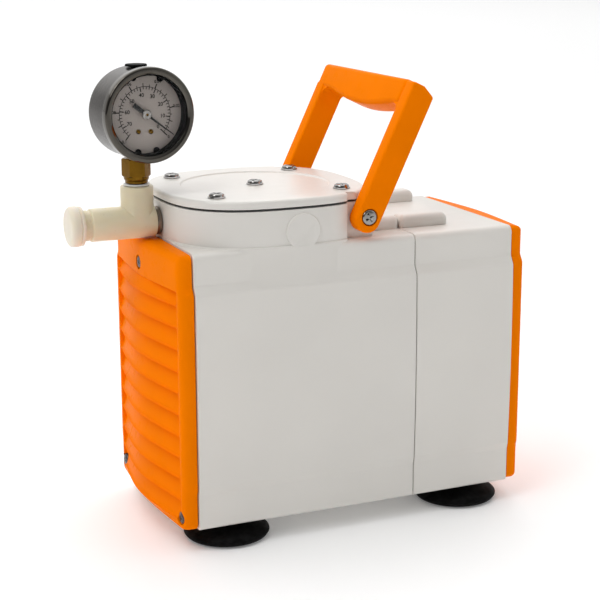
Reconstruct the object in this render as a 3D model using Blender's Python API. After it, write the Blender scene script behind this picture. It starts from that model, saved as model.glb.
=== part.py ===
"""Small oil-less laboratory vacuum pump: one diaphragm head driven by a capacitor motor.

Lengths are millimetres and are turned into metres when an object is made.
X runs from the inlet end (-) to the mains end (+), Y across the pump, Z up from the floor.
Positions are given from the middle of the casing; BODY_SHIFT then centres the whole box.
"""
import math

import bmesh
import bpy
from mathutils import Matrix, Vector

MM = 0.001
GAP = 0.3                      # air left between neighbouring solids
BODY_SHIFT = 18.7              # the tee stands out at one end, so the casing sits off centre

# --- casing ---------------------------------------------------------------
CASE_END = 100.0               # half the casing's length
SPLIT_X = 35.6                 # joint between the pump casting and the motor housing
SPLIT_HALF = 0.3               # half the split gasket's thickness
BASE_Z = 13.0                  # underside
CREASE_LOW_Z, CREASE_HIGH_Z = 34.0, 38.0
NOTCH_LOW_Z, NOTCH_HIGH_Z = 149.5, 154.5
TOP_Z = 172.3
BELT_LOW_Y, BELT_TOP_Y = 60.3, 58.3
SIDE_EDGE_Y, SIDE_MID_Y = 61.2, 62.0
EDGE_ROUND = 4.0
INNER_Y, INNER_LOW_Z, INNER_HIGH_Z = 55.8, 17.6, 166.0
RAIL_START, RAIL_FRONT_END, RAIL_BACK_END, RAIL_TOP_Z = -10.0, 68.0, 86.0, 179.8
RAIL_FRONT_Y, RAIL_BACK_Y = (-38.5, -26.0), (39.0, 50.4)

# --- pump head ------------------------------------------------------------
HEAD_X = -40.4
HEAD_R = 59.5
HEAD_LOBE = 0.052              # the head is a soft square: how far its corners are drawn out
ARM_ROOM_X = -6.2              # from here on the head leaves the handle's arms room
HEAD_TOP_Z = 193.0
PORT_Z = 181.5
PORT_R = 6.0
BLOCK_BORE_R, LEDGE_Z, ROD_BORE_R = 44.0, 170.0, 33.0
COVER_LOW_Z, COVER_TOP_Z, COVER_RECESS_R, COVER_RECESS = 194.3, 198.9, 43.0, 0.8
SCREW_OFFSET = 38.2            # cover screws stand on a square of this half side
INTAKE_XY = (HEAD_X - 20.0, 0.0)
EXHAUST_XY = (HEAD_X + 6.0, 20.0)
CHAMBER_TOP_Z = 179.6
POCKET_FLOOR_Z = 182.5
EXHAUST_X = -35.5
CLAMP_R = 18.0                 # the disc that clamps the diaphragm to the rod
DIAPHRAGM_MID_Z = LEDGE_Z + 1.15
DIAPHRAGM_THICK = 1.7

# --- drive ----------------------------------------------------------------
SHAFT_Z = 92.0
SHAFT_R = 6.0
CRANK = 2.5                    # half the stroke
ROD_HALF = 4.5
STATOR_X, STATOR_R, ROTOR_R = (24.0, 66.0), 50.0, 25.6
FRONT_BEARING_X, REAR_BEARING_X, BEARING_W, BEARING_R = 2.0, 77.0, 10.0, 16.0
FRONT_PLATE_R, REAR_PLATE_R = 55.3, 50.0
FAN_X, FAN_R, BLADES = (88.0, 97.5), 41.0, 7

# --- carrying handle --------------------------------------------------------
PIVOT_X, PIVOT_Z = 5.0, 185.1
HANDLE_LEAN = math.radians(25.5)
HANDLE_Y = 60.8
ARM_THICK, ARM_HALF = 10.0, 7.7
ARM_END_R, ARM_TOP = 9.2, 80.8
GRIP_LOW, GRIP_BELLY = 65.4, 61.0

# --- inlet tee and gauge ----------------------------------------------------
TEE_X, TEE_R = -112.6, 9.4
TEE_TOP_Z = 202.5
TEE_END_X = -141.0
CAP_END_X, CAP_R = -153.5, 11.5
GAUGE_Z = 244.3
GAUGE_FRONT_Y, GAUGE_BACK_Y = -23.0, 10.0
BEZEL_R, CAN_R = 26.5, 25.3
HEX_FLATS = 14.4
HEX_TURN = math.radians(-12.0)
NEEDLE_REST = math.radians(-37.0)
GAUGE_TURN = math.radians(5.5)   # how far the gauge is screwed round from facing straight ahead

# --- feet and end panels ----------------------------------------------------
FOOT_X, FOOT_Y, FOOT_R = 76.0, 39.0, 25.5
PANEL_THICK, PANEL_BOW, PANEL_CREST = 8.5, 7.3, 22.0
PANEL_HALF_TRIM = 1.0          # the panels stand this much inside the casing's outline
LIP_TOP_Z, LIP_PITCH, LIP_COUNT = 143.4, 12.5, 10
SHELF_Z = 151.5
SLAT_DEPTH = 4.0
FIELD_Y = 54.0
SHELF_SHARE, SILL_SHARE, SILL = 0.58, 0.45, 4.9   # how much of the bow the plain bands keep
PANEL_SCREWS = ((0.0, 158.0), (-53.0, 20.0), (53.0, 20.0))
CONTROL_PLATE_X = 109.4        # the flat plate that the socket and the switch sit in
CONTROL_Z = 149.0
SOCKET_Y, SWITCH_Y = -22.0, 22.0
SOCKET_SIZE, SWITCH_SIZE = (27.0, 20.0), (21.0, 15.0)

COLOURS = {                    # base colour, roughness, metallic
    "white_paint": ((0.80, 0.79, 0.77), 0.35, 0.0),
    "orange_plastic": ((0.95, 0.30, 0.01), 0.38, 0.0),
    "black_rubber": ((0.02, 0.02, 0.02), 0.75, 0.0),
    "nylon": ((0.80, 0.74, 0.60), 0.35, 0.0),
    "brass": ((0.62, 0.42, 0.13), 0.30, 1.0),
    "steel": ((0.60, 0.60, 0.60), 0.25, 1.0),
    "zinc_screw": ((0.55, 0.55, 0.56), 0.30, 1.0),
    "cast_alloy": ((0.60, 0.61, 0.62), 0.45, 1.0),
    "laminations": ((0.30, 0.31, 0.33), 0.50, 1.0),
    "copper_wire": ((0.60, 0.25, 0.10), 0.40, 1.0),
    "black_plastic": ((0.03, 0.03, 0.03), 0.45, 0.0),
    "dial_plate": ((0.62, 0.60, 0.58), 0.45, 0.0),
    "clear_window": ((0.90, 0.93, 0.95), 0.05, 0.0),
    "white_tape": ((0.90, 0.90, 0.88), 0.60, 0.0),
    "capacitor_can": ((0.75, 0.75, 0.76), 0.30, 1.0),
}


# ---------------------------------------------------------------------------
# Making objects
# ---------------------------------------------------------------------------

def clear_scene():
    for obj in list(bpy.data.objects):
        bpy.data.objects.remove(obj, do_unlink=True)


def material(name):
    found = bpy.data.materials.get(name)
    if found:
        return found
    colour, roughness, metallic = COLOURS[name]
    made = bpy.data.materials.new(name)
    made.use_nodes = True
    shader = made.node_tree.nodes["Principled BSDF"]
    shader.inputs["Base Color"].default_value = (*colour, 1.0)
    shader.inputs["Roughness"].default_value = roughness
    shader.inputs["Metallic"].default_value = metallic
    return made


def add_object(name, bm, finish, at=(0.0, 0.0, 0.0), turn=(0.0, 0.0, 0.0)):
    """Turn a millimetre bmesh, drawn around its own origin, into an object at that origin."""
    bmesh.ops.remove_doubles(bm, verts=bm.verts, dist=1e-4)
    bmesh.ops.recalc_face_normals(bm, faces=bm.faces)
    bmesh.ops.scale(bm, vec=(MM, MM, MM), verts=bm.verts)
    mesh = bpy.data.meshes.new(name)
    bm.to_mesh(mesh)
    bm.free()
    mesh.shade_smooth()
    mesh.set_sharp_from_angle(angle=math.radians(35))
    obj = bpy.data.objects.new(name, mesh)
    obj.location = [(v + (BODY_SHIFT if i == 0 else 0.0)) * MM for i, v in enumerate(at)]
    obj.rotation_euler = turn
    bpy.context.scene.collection.objects.link(obj)
    if finish:
        mesh.materials.append(material(finish))
    return obj


def cutter(name, bm, at=(0.0, 0.0, 0.0)):
    obj = add_object("cut_" + name, bm, None, at)
    obj.hide_render = True
    obj.display_type = "WIRE"
    return obj


def combine(target, tools, operation="DIFFERENCE"):
    for tool in tools:
        step = target.modifiers.new(operation.lower() + "_" + tool.name, "BOOLEAN")
        step.operation = operation
        step.solver = "EXACT"
        step.object = tool
    return target


# ---------------------------------------------------------------------------
# Basic solids, each returned as a bmesh
# ---------------------------------------------------------------------------

AXES = {
    "X": lambda r, a, h: (h, r * math.cos(a), r * math.sin(a)),
    "Y": lambda r, a, h: (r * math.sin(a), h, r * math.cos(a)),
    "Z": lambda r, a, h: (r * math.cos(a), r * math.sin(a), h),
}


def turned(profile, axis="Z", sides=32, centre=(0.0, 0.0, 0.0), phase=0.0):
    """Revolve a closed (radius, height) outline; flat ends on the axis become single faces."""
    place = AXES[axis]
    bm = bmesh.new()
    rings = []
    for radius, height in profile:
        count = 1 if radius < 1e-6 else sides
        ring = []
        for i in range(count):
            angle = phase + 2.0 * math.pi * i / sides
            point = Vector(place(radius, angle, height)) + Vector(centre)
            ring.append(bm.verts.new(point))
        rings.append(ring)
    heights = [height for _, height in profile]
    order = list(range(len(profile)))
    for a, b in zip(order, order[1:] + order[:1]):
        one, two = rings[a], rings[b]
        if len(one) == 1 and len(two) == 1:
            continue
        if abs(heights[a] - heights[b]) < 1e-6 and 1 in (len(one), len(two)):
            bm.faces.new(one if len(two) == 1 else two)
            continue
        for i in range(sides):
            j = (i + 1) % sides
            corners = [one[i % len(one)], one[j % len(one)], two[j % len(two)], two[i % len(two)]]
            bm.faces.new(list(dict.fromkeys(corners)))
    loose = [v for v in bm.verts if not v.link_faces]
    bmesh.ops.delete(bm, geom=loose, context="VERTS")
    return bm


def cylinder(radius, low, high, axis="Z", sides=32, centre=(0.0, 0.0, 0.0), phase=0.0):
    return turned([(0.0, low), (radius, low), (radius, high), (0.0, high)], axis, sides, centre, phase)


def ring(inner, outer, low, high, axis="Z", sides=32, centre=(0.0, 0.0, 0.0)):
    return turned([(inner, low), (outer, low), (outer, high), (inner, high)], axis, sides, centre)


def extruded(outline, low, high, axis="X"):
    """Extrude an outline: (y, z) along X, (x, z) along Y or (x, y) along Z."""
    place = {
        "X": lambda a, b, h: (h, a, b),
        "Y": lambda a, b, h: (a, h, b),
        "Z": lambda a, b, h: (a, b, h),
    }[axis]
    bm = bmesh.new()
    ends = [[bm.verts.new(place(a, b, h)) for a, b in outline] for h in (low, high)]
    bm.faces.new(ends[0])
    bm.faces.new(ends[1][::-1])
    count = len(outline)
    for i in range(count):
        j = (i + 1) % count
        bm.faces.new((ends[0][i], ends[1][i], ends[1][j], ends[0][j]))
    return bm


def block(x, y, z):
    """A box from three (low, high) pairs."""
    outline = [(x[0], y[0]), (x[1], y[0]), (x[1], y[1]), (x[0], y[1])]
    return extruded(outline, z[0], z[1], "Z")


def arc(cx, cy, radius, start, end, steps):
    """Points along an arc, angles in degrees."""
    points = []
    for i in range(steps + 1):
        angle = math.radians(start + (end - start) * i / steps)
        points.append((cx + radius * math.cos(angle), cy + radius * math.sin(angle)))
    return points


def mirrored(half):
    """Close a right-hand half outline, listed upwards, with its mirror image."""
    return half + [(-a, b) for a, b in reversed(half)]


# ---------------------------------------------------------------------------
# Casing
# ---------------------------------------------------------------------------

def casing_outline(trim=0.0):
    """The casing's end view: low belt, crowned sides, notch and rounded top, drawn inwards by trim."""
    mid_z = 0.5 * (CREASE_HIGH_Z + NOTCH_LOW_Z)
    half = [(BELT_LOW_Y - trim - 3.0, BASE_Z + trim), (BELT_LOW_Y - trim, BASE_Z + trim + 3.0)]
    half += [(BELT_LOW_Y - trim, CREASE_LOW_Z), (SIDE_EDGE_Y - trim, CREASE_HIGH_Z)]
    half += [(SIDE_MID_Y - trim, mid_z), (SIDE_EDGE_Y - trim, NOTCH_LOW_Z)]
    half += [(BELT_TOP_Y - trim, NOTCH_HIGH_Z)]
    half += arc(BELT_TOP_Y - trim - EDGE_ROUND, TOP_Z - trim - EDGE_ROUND, EDGE_ROUND, 0, 90, 4)
    return mirrored(half)


def inner_outline():
    half = [(INNER_Y - 3.0, INNER_LOW_Z), (INNER_Y, INNER_LOW_Z + 3.0)]
    half += [(INNER_Y, NOTCH_LOW_Z), (INNER_Y - 3.0, NOTCH_HIGH_Z), (INNER_Y - 3.0, INNER_HIGH_Z)]
    return mirrored(half)


def rail(y_inner, y_outer, x_low, x_high, top_z):
    """A low rail on the casing's top, its free end rounded in side view."""
    nose = 5.0
    outline = [(x_low, TOP_Z - 2.0), (x_high, TOP_Z - 2.0), (x_high, top_z - nose)]
    outline += arc(x_high - nose, top_z - nose, nose, 0, 90, 4)[1:]
    outline += [(x_low, top_z)]
    return extruded(outline, y_inner, y_outer, "Y")


def lug(side):
    """The upright ear beside the rail that a handle arm turns on."""
    half, foot = 7.0, 2.0
    outline = [(PIVOT_X - half, TOP_Z - foot), (PIVOT_X + half, TOP_Z - foot)]
    outline += arc(PIVOT_X, PIVOT_Z, half, 0, 180, 10)
    inner = -RAIL_FRONT_Y[0] - 1.0
    outer = HANDLE_Y - ARM_THICK - GAP
    low, high = sorted((side * inner, side * outer))
    return extruded(outline, low, high, "Y")


def squared(bm, centre_x=0.0, start=50.0):
    """Draw the rim of a round head piece out towards its four corners."""
    for v in bm.verts:
        dx, dy = v.co.x - centre_x, v.co.y
        if math.hypot(dx, dy) > start:
            grow = 1.0 + HEAD_LOBE * (1.0 - math.cos(4.0 * math.atan2(dy, dx)))
            v.co.x, v.co.y = centre_x + dx * grow, dy * grow
    return bm


def arm_rooms(tag):
    """Cutters for the room that the head leaves the two arms of the handle."""
    inner = HANDLE_Y - ARM_THICK - GAP
    rooms = []
    for side in (-1, 1):
        low, high = sorted((side * inner, side * 75.0))
        room = block((ARM_ROOM_X, 45.0), (low, high), (TOP_Z - 2.0, COVER_TOP_Z + 5.0))
        rooms.append(cutter("%s_room_%d" % (tag, side > 0), room))
    return rooms


def make_pump_housing():
    left, right = -CASE_END, SPLIT_X - SPLIT_HALF - GAP
    housing = add_object("pump_housing", extruded(casing_outline(), left, right), "white_paint")
    centre = (HEAD_X, 0.0, 0.0)
    round_boss = cylinder(HEAD_R, NOTCH_LOW_Z + 1.0, HEAD_TOP_Z, "Z", 48, centre)
    boss = cutter("head_boss", squared(round_boss, HEAD_X))
    combine(boss, arm_rooms("boss"))
    rails = [
        cutter("rail_front", rail(*RAIL_FRONT_Y, RAIL_START, right, RAIL_TOP_Z)),
        cutter("rail_back", rail(*RAIL_BACK_Y, RAIL_START, right, RAIL_TOP_Z)),
    ]
    # the rails run on over the motor housing, so their rounded ends are cut square here
    for obj in rails:
        square = cutter("square_" + obj.name, block((RAIL_START, right), (-60.0, 60.0), (160.0, 190.0)))
        combine(obj, [square], "INTERSECT")
    lugs = [cutter("lug_front", lug(-1)), cutter("lug_back", lug(1))]
    combine(housing, [boss] + rails + lugs, "UNION")
    block_bore = cylinder(BLOCK_BORE_R, LEDGE_Z, HEAD_TOP_Z + 5.0, "Z", 40, centre)
    rod_bore = cylinder(ROD_BORE_R, INNER_HIGH_Z - 5.0, LEDGE_Z + 1.0, "Z", 32, centre)
    inlet = cylinder(PORT_R, -CASE_END - 5.0, HEAD_X - BLOCK_BORE_R + 2.0, "X", 20, (0.0, 0.0, PORT_Z))
    outlet = cylinder(PORT_R, BLOCK_BORE_R - 2.0, HEAD_R + 5.0, "Y", 20, (EXHAUST_X, 0.0, PORT_Z))
    pins = []
    for side in (-1, 1):
        pin = cylinder(2.3, side * 42.0, side * 55.0, "Y", 12, (PIVOT_X, 0.0, PIVOT_Z))
        pins.append(cutter("pin_%d" % (side > 0), pin))
    tools = [
        cutter("inside_left", extruded(inner_outline(), left - 5.0, right + 5.0)),
        cutter("block_bore", block_bore),
        cutter("rod_bore", rod_bore),
        cutter("inlet_port", inlet),
        cutter("outlet_port", outlet),
    ]
    for i, (dx, dy) in enumerate(cover_screw_places()):
        hole = cylinder(2.3, HEAD_TOP_Z - 12.0, HEAD_TOP_Z + 5.0, "Z", 10, (HEAD_X + dx, dy, 0.0))
        tools.append(cutter("cover_hole_%d" % i, hole))
    combine(housing, tools + pins)


def make_motor_housing():
    left = SPLIT_X + SPLIT_HALF + GAP
    housing = add_object("motor_housing", extruded(casing_outline(), left, CASE_END), "white_paint")
    rails = [
        cutter("rail_tail_front", rail(*RAIL_FRONT_Y, left, RAIL_FRONT_END, RAIL_TOP_Z)),
        cutter("rail_tail_back", rail(*RAIL_BACK_Y, left, RAIL_BACK_END, RAIL_TOP_Z)),
    ]
    combine(housing, rails, "UNION")
    combine(housing, [cutter("inside_right", extruded(inner_outline(), left - 5.0, CASE_END + 5.0))])


def make_split_gasket():
    low, high = SPLIT_X - SPLIT_HALF, SPLIT_X + SPLIT_HALF
    gasket = add_object("split_gasket", extruded(casing_outline(0.8), low, high), "black_rubber")
    combine(gasket, [cutter("inside_gasket", extruded(inner_outline(), low - 5.0, high + 5.0))])


# ---------------------------------------------------------------------------
# End panels
# ---------------------------------------------------------------------------

def bow(y):
    """How far a panel bulges at this distance from its middle: two flanks and a soft crest."""
    edge = math.hypot(FIELD_Y, PANEL_CREST)
    return PANEL_BOW * max(0.0, edge - math.hypot(y, PANEL_CREST)) / (edge - PANEL_CREST)


def panel_half_width(z):
    """Half the panel's width at a height: the casing's outline, drawn in a little."""
    steps = [(BASE_Z, BELT_LOW_Y), (CREASE_LOW_Z, BELT_LOW_Y), (CREASE_HIGH_Z, SIDE_EDGE_Y)]
    steps += [(NOTCH_LOW_Z, SIDE_EDGE_Y), (NOTCH_HIGH_Z, BELT_TOP_Y), (TOP_Z, BELT_TOP_Y)]
    for (z0, y0), (z1, y1) in zip(steps, steps[1:]):
        if z <= z1:
            return y0 + (y1 - y0) * max(0.0, z - z0) / (z1 - z0) - PANEL_HALF_TRIM
    return BELT_TOP_Y - PANEL_HALF_TRIM


def shelf_height(first_lip):
    return SHELF_Z if first_lip == 0 else LIP_TOP_Z - (first_lip - 1) * LIP_PITCH


def panel_rows(first_lip):
    """Heights up the panel, each with the slat recess there: (z, depth)."""
    low, high = BASE_Z + 0.5, TOP_Z - 0.8
    rows = [(low, 0.0), (low + 1.2, 0.0), (low + SILL, 0.0)]
    for k in range(LIP_COUNT - 1, first_lip - 1, -1):
        lip = LIP_TOP_Z - k * LIP_PITCH
        rows += [(lip - 1.2, SLAT_DEPTH), (lip, 0.0)]
    shelf = shelf_height(first_lip)
    rows += [(shelf - 1.2, SLAT_DEPTH), (shelf, 0.0)]
    return rows + [(high - 5.0, 0.0), (high - 1.5, 0.0), (high, 0.0)]


def panel_solid(side, first_lip):
    """A bowed cover plate whose middle is a stack of sloping slats; side is -1 or +1 along X."""
    back_x = CASE_END + GAP
    rows = panel_rows(first_lip)
    low, high = rows[0][0], rows[-1][0]
    columns = [-FIELD_Y, -38.0, -18.0, 0.0, 18.0, 38.0, FIELD_Y]
    bm = bmesh.new()
    grid = []
    for z, depth in rows:
        half = panel_half_width(z)
        edge_drop = {low: 1.2, high: 4.5}.get(z, 1.3 if z > high - 2.0 else 0.0)
        share = SHELF_SHARE if z >= shelf_height(first_lip) else 1.0
        if z < low + SILL:
            share = SILL_SHARE + (1.0 - SILL_SHARE) * (z - low) / SILL
        ys = [-half, -half + 1.5] + columns + [half - 1.5, half]
        line = []
        for i, y in enumerate(ys):
            reach = PANEL_THICK + bow(y) * share
            reach -= {0: 5.5, 1: 1.6}.get(min(i, len(ys) - 1 - i), 0.0)
            reach = max(2.5, reach - edge_drop)
            if abs(y) < FIELD_Y - 0.1:
                reach -= depth
            line.append(bm.verts.new((side * (back_x + reach), y, z)))
        grid.append(line)
    back = [[bm.verts.new((side * back_x, v.co.y, v.co.z)) for v in line] for line in grid]
    for lower, upper in zip(grid, grid[1:]):
        for a, b, c, d in zip(lower, lower[1:], upper[1:], upper):
            bm.faces.new((a, b, c, d))
    rim_front = grid[0] + [line[-1] for line in grid[1:-1]] + grid[-1][::-1]
    rim_front += [line[0] for line in reversed(grid[1:-1])]
    rim_back = back[0] + [line[-1] for line in back[1:-1]] + back[-1][::-1]
    rim_back += [line[0] for line in reversed(back[1:-1])]
    count = len(rim_front)
    for i in range(count):
        j = (i + 1) % count
        bm.faces.new((rim_front[i], rim_front[j], rim_back[j], rim_back[i]))
    bm.faces.new(rim_back)
    bmesh.ops.delete(bm, geom=[v for v in bm.verts if not v.link_faces], context="VERTS")
    bmesh.ops.triangulate(bm, faces=bm.faces)
    return bm


def screw_floor(side, y, z):
    """X distance of the counterbore's floor for a panel screw."""
    if side > 0 and z > CONTROL_Z:
        return CONTROL_PLATE_X - 2.0
    return CASE_END + PANEL_THICK + bow(y) * (SHELF_SHARE if z > SHELF_Z else 1.0) - 2.5


def make_end_panel(name, side, first_lip):
    panel = add_object(name, panel_solid(side, first_lip), "orange_plastic")
    tools = []
    if side > 0:
        flat = block((CONTROL_PLATE_X, 130.0), (-44.0, 44.0), (133.5, 165.0))
        tools.append(cutter("control_flat", flat))
        windows = (("socket", SOCKET_Y, SOCKET_SIZE), ("switch", SWITCH_Y, SWITCH_SIZE))
        for label, y, (wide, tall) in windows:
            spread = (y - wide / 2 - GAP, y + wide / 2 + GAP)
            rise = (CONTROL_Z - tall / 2 - GAP, CONTROL_Z + tall / 2 + GAP)
            tools.append(cutter(label + "_window", block((90.0, 130.0), spread, rise)))
    inside = sorted((side * (CASE_END - 5.0), side * (CASE_END + 4.2)))
    tools.append(cutter(name + "_inside", block(inside, (-52.0, 52.0), (26.0, 150.0))))
    through = sorted((side * CASE_END, side * (CASE_END + 20.0)))
    for k in range(first_lip + 1, LIP_COUNT - 1, 2):
        lip = LIP_TOP_Z - k * LIP_PITCH
        slot = block(through, (-24.0, 24.0), (lip - 3.4, lip - 1.4))
        tools.append(cutter("%s_slot_%d" % (name, k), slot))
    for i, (y, z) in enumerate(PANEL_SCREWS):
        centre = (0.0, y, z)
        hole = cylinder(2.3, through[0] - 2.0, through[1] + 2.0, "X", 10, centre, 0.1)
        face = screw_floor(side, y, z)
        sunk_from, sunk_to = sorted((side * face, side * (face + 10.0)))
        sunk = cylinder(4.2, sunk_from, sunk_to, "X", 14, centre, 0.1)
        tools += [cutter("%s_hole_%d" % (name, i), hole), cutter("%s_sunk_%d" % (name, i), sunk)]
    combine(panel, tools)


def make_panel_screw(name, side, y, z):
    """A cross-head screw lying in its counterbore."""
    face = screw_floor(side, y, z) + GAP
    profile = [(0.0, 0.0), (1.9, 0.0), (1.9, face - CASE_END), (3.8, face - CASE_END)]
    profile += [(3.6, face - CASE_END + 1.6), (0.0, face - CASE_END + 1.6)]
    profile = [(r, side * h) for r, h in profile]
    add_object(name, turned(profile, "X", 12), "zinc_screw", (side * CASE_END, y, z))


# ---------------------------------------------------------------------------
# Feet
# ---------------------------------------------------------------------------

def make_foot(name, x, y):
    top = BASE_Z - GAP
    profile = [(0.0, 2.0), (15.5, 2.0), (17.5, 0.0), (21.0, 0.0), (24.0, 1.2), (FOOT_R, 3.4)]
    profile += [(23.0, 5.8), (11.0, 9.6), (10.0, top), (0.0, top)]
    add_object(name, turned(profile, "Z", 20), "black_rubber", (x, y, 0.0))


# ---------------------------------------------------------------------------
# Pump head
# ---------------------------------------------------------------------------

def cover_screw_places():
    return [(sx * SCREW_OFFSET, sy * SCREW_OFFSET) for sx in (-1, 1) for sy in (-1, 1)]


def make_head_cover():
    gasket = ring(HEAD_R - 3.0, HEAD_R - 0.4, HEAD_TOP_Z + GAP, HEAD_TOP_Z + GAP + 0.7, "Z", 48)
    add_object("head_gasket", gasket, "black_rubber", (HEAD_X, 0.0, 0.0))
    edge = 1.8
    profile = [(0.0, COVER_LOW_Z), (HEAD_R, COVER_LOW_Z), (HEAD_R, COVER_TOP_Z - edge)]
    profile += [(HEAD_R - edge, COVER_TOP_Z)]
    profile += [(COVER_RECESS_R + 1.0, COVER_TOP_Z), (COVER_RECESS_R, COVER_TOP_Z - COVER_RECESS)]
    profile += [(0.0, COVER_TOP_Z - COVER_RECESS)]
    lid = squared(turned(profile, "Z", 48))
    cover = add_object("head_cover", lid, "white_paint", (HEAD_X, 0.0, 0.0))
    combine(cover, arm_rooms("cover"))
    for i, (dx, dy) in enumerate(cover_screw_places() + [(0.0, 0.0)]):
        at = (HEAD_X + dx, dy, 0.0)
        clear = cylinder(2.3, HEAD_TOP_Z - 5.0, COVER_TOP_Z + 5.0, "Z", 10, at)
        combine(cover, [cutter("cover_clear_%d" % i, clear)])
        seat = COVER_TOP_Z + 0.1 - (COVER_RECESS if i == 4 else 0.0)
        make_pan_screw("cover_screw_%d" % (i + 1), (at[0], at[1], seat), 8.0 if i < 4 else 9.0)


def make_pan_screw(name, at, length, head=4.1):
    profile = [(0.0, -length), (1.9, -length), (1.9, 0.1), (head, 0.1), (head, 0.9)]
    profile += [(head * 0.72, 2.0), (0.0, 2.0)]
    add_object(name, turned(profile, "Z", 12), "zinc_screw", at)


def make_valve_block():
    low, high = LEDGE_Z + 2.3, HEAD_TOP_Z - 0.1
    profile = [(0.0, CHAMBER_TOP_Z), (31.0, CHAMBER_TOP_Z), (31.0, low), (BLOCK_BORE_R - GAP, low)]
    profile += [(BLOCK_BORE_R - GAP, high), (0.0, high)]
    solid = add_object("valve_block", turned(profile, "Z", 40), "cast_alloy", (HEAD_X, 0.0, 0.0))
    tools = []
    for label, (x, y) in (("intake", INTAKE_XY), ("exhaust", EXHAUST_XY)):
        pocket = cylinder(9.0, POCKET_FLOOR_Z, high + 5.0, "Z", 20, (x, y, 0.0))
        throat = cylinder(3.0, CHAMBER_TOP_Z - 2.0, POCKET_FLOOR_Z + 2.0, "Z", 8, (x, y, 0.0))
        tools += [cutter(label + "_pocket", pocket), cutter(label + "_throat", throat)]
    feed_z, feed_r = PORT_Z + 3.6, 2.0
    feed_in = cylinder(feed_r, HEAD_X - BLOCK_BORE_R - 5.0, INTAKE_XY[0], "X", 10, (0.0, 0.0, feed_z))
    feed_out = cylinder(feed_r, EXHAUST_XY[1], BLOCK_BORE_R + 5.0, "Y", 10, (EXHAUST_X, 0.0, feed_z))
    tap = cylinder(2.3, high - 5.5, high + 5.0, "Z", 10, (HEAD_X, 0.0, 0.0))
    tools += [cutter("feed_in", feed_in), cutter("feed_out", feed_out), cutter("block_tap", tap)]
    combine(solid, tools)


def make_valves():
    thick, radius = 1.2, 6.0
    intake = cylinder(radius, -thick, 0.0, "Z", 20)
    add_object("intake_valve", intake, "black_rubber", (*INTAKE_XY, CHAMBER_TOP_Z - GAP))
    exhaust = cylinder(radius, 0.0, thick, "Z", 20)
    add_object("exhaust_valve", exhaust, "black_rubber", (*EXHAUST_XY, POCKET_FLOOR_Z + GAP))


def make_diaphragm():
    """A rubber disc held at its rim; at rest the piston is down, so its middle is drawn down too."""
    half = DIAPHRAGM_THICK / 2
    line = [(3.0, -CRANK), (CLAMP_R + 2.0, -CRANK), (29.5, 0.0), (BLOCK_BORE_R - GAP, 0.0)]
    profile = [(r, z - half) for r, z in line] + [(r, z + half) for r, z in reversed(line)]
    add_object("diaphragm", turned(profile, "Z", 24), "black_rubber", (HEAD_X, 0.0, DIAPHRAGM_MID_Z))


def make_rod():
    """Connecting rod with its bearing and the clamp disc, all hung on the crank pin."""
    pin = (HEAD_X, 0.0, SHAFT_Z - CRANK)
    top = DIAPHRAGM_MID_Z - CRANK - DIAPHRAGM_THICK / 2 - GAP - pin[2]
    eye = ring(14.6, 20.0, -ROD_HALF, ROD_HALF, "X", 24)
    rod = add_object("connecting_rod", eye, "cast_alloy", pin)
    stem = extruded([(-6.0, 17.0), (6.0, 17.0), (4.5, top - 3.0), (-4.5, top - 3.0)], -3.5, 3.5, "X")
    flange_r = CLAMP_R - 4.0
    profile = [(0.0, top - 5.0), (6.0, top - 5.0), (flange_r, top - 2.5), (flange_r, top)]
    flange = turned(profile + [(0.0, top)], "Z", 24)
    parts = [cutter("rod_stem", stem, pin), cutter("rod_flange", flange, pin)]
    combine(rod, parts, "UNION")
    combine(rod, [cutter("rod_tap", cylinder(2.3, top - 4.0, top + 5.0, "Z", 10), pin)])
    bearing = ring(7.3, 14.3, -ROD_HALF, ROD_HALF, "X", 24)
    add_object("rod_bearing", bearing, "steel", pin)
    disc = top + 2 * GAP + DIAPHRAGM_THICK
    profile = [(0.0, top - 3.5), (1.9, top - 3.5), (1.9, disc), (CLAMP_R - 1.5, disc), (CLAMP_R, disc + 0.7)]
    profile += [(CLAMP_R - 2.0, disc + 2.0), (0.0, disc + 2.0)]
    add_object("diaphragm_clamp", turned(profile, "Z", 24), "cast_alloy", pin)


# ---------------------------------------------------------------------------
# Motor and crank
# ---------------------------------------------------------------------------

def make_crank():
    """Eccentric: a hub on the shaft's end, a pin set CRANK below it and a balance weight above."""
    x_pin = (HEAD_X - ROD_HALF - 1.0, HEAD_X + ROD_HALF + 1.0)
    at = (0.0, 0.0, SHAFT_Z)
    pin = cylinder(7.0, x_pin[0], x_pin[1] + 0.5, "X", 24, (0.0, 0.0, -CRANK))
    crank = add_object("crank", pin, "cast_alloy", at)
    hub = cylinder(11.0, x_pin[1], x_pin[1] + 15.0, "X", 24)
    weight_outline = arc(0.0, 0.0, 34.0, 30, 150, 10) + [(-11.0, -2.0), (11.0, -2.0)]
    weight = extruded(weight_outline, x_pin[1] + 1.0, x_pin[1] + 11.0, "X")
    combine(crank, [cutter("crank_hub", hub, at), cutter("crank_weight", weight, at)], "UNION")
    bore = cylinder(SHAFT_R + GAP, x_pin[1] + 4.0, x_pin[1] + 20.0, "X", 20)
    combine(crank, [cutter("crank_bore", bore, at)])
    shaft = cylinder(SHAFT_R, x_pin[1] + 4.0 + GAP, FAN_X[1] + 1.0, "X", 20)
    add_object("motor_shaft", shaft, "steel", at)


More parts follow.
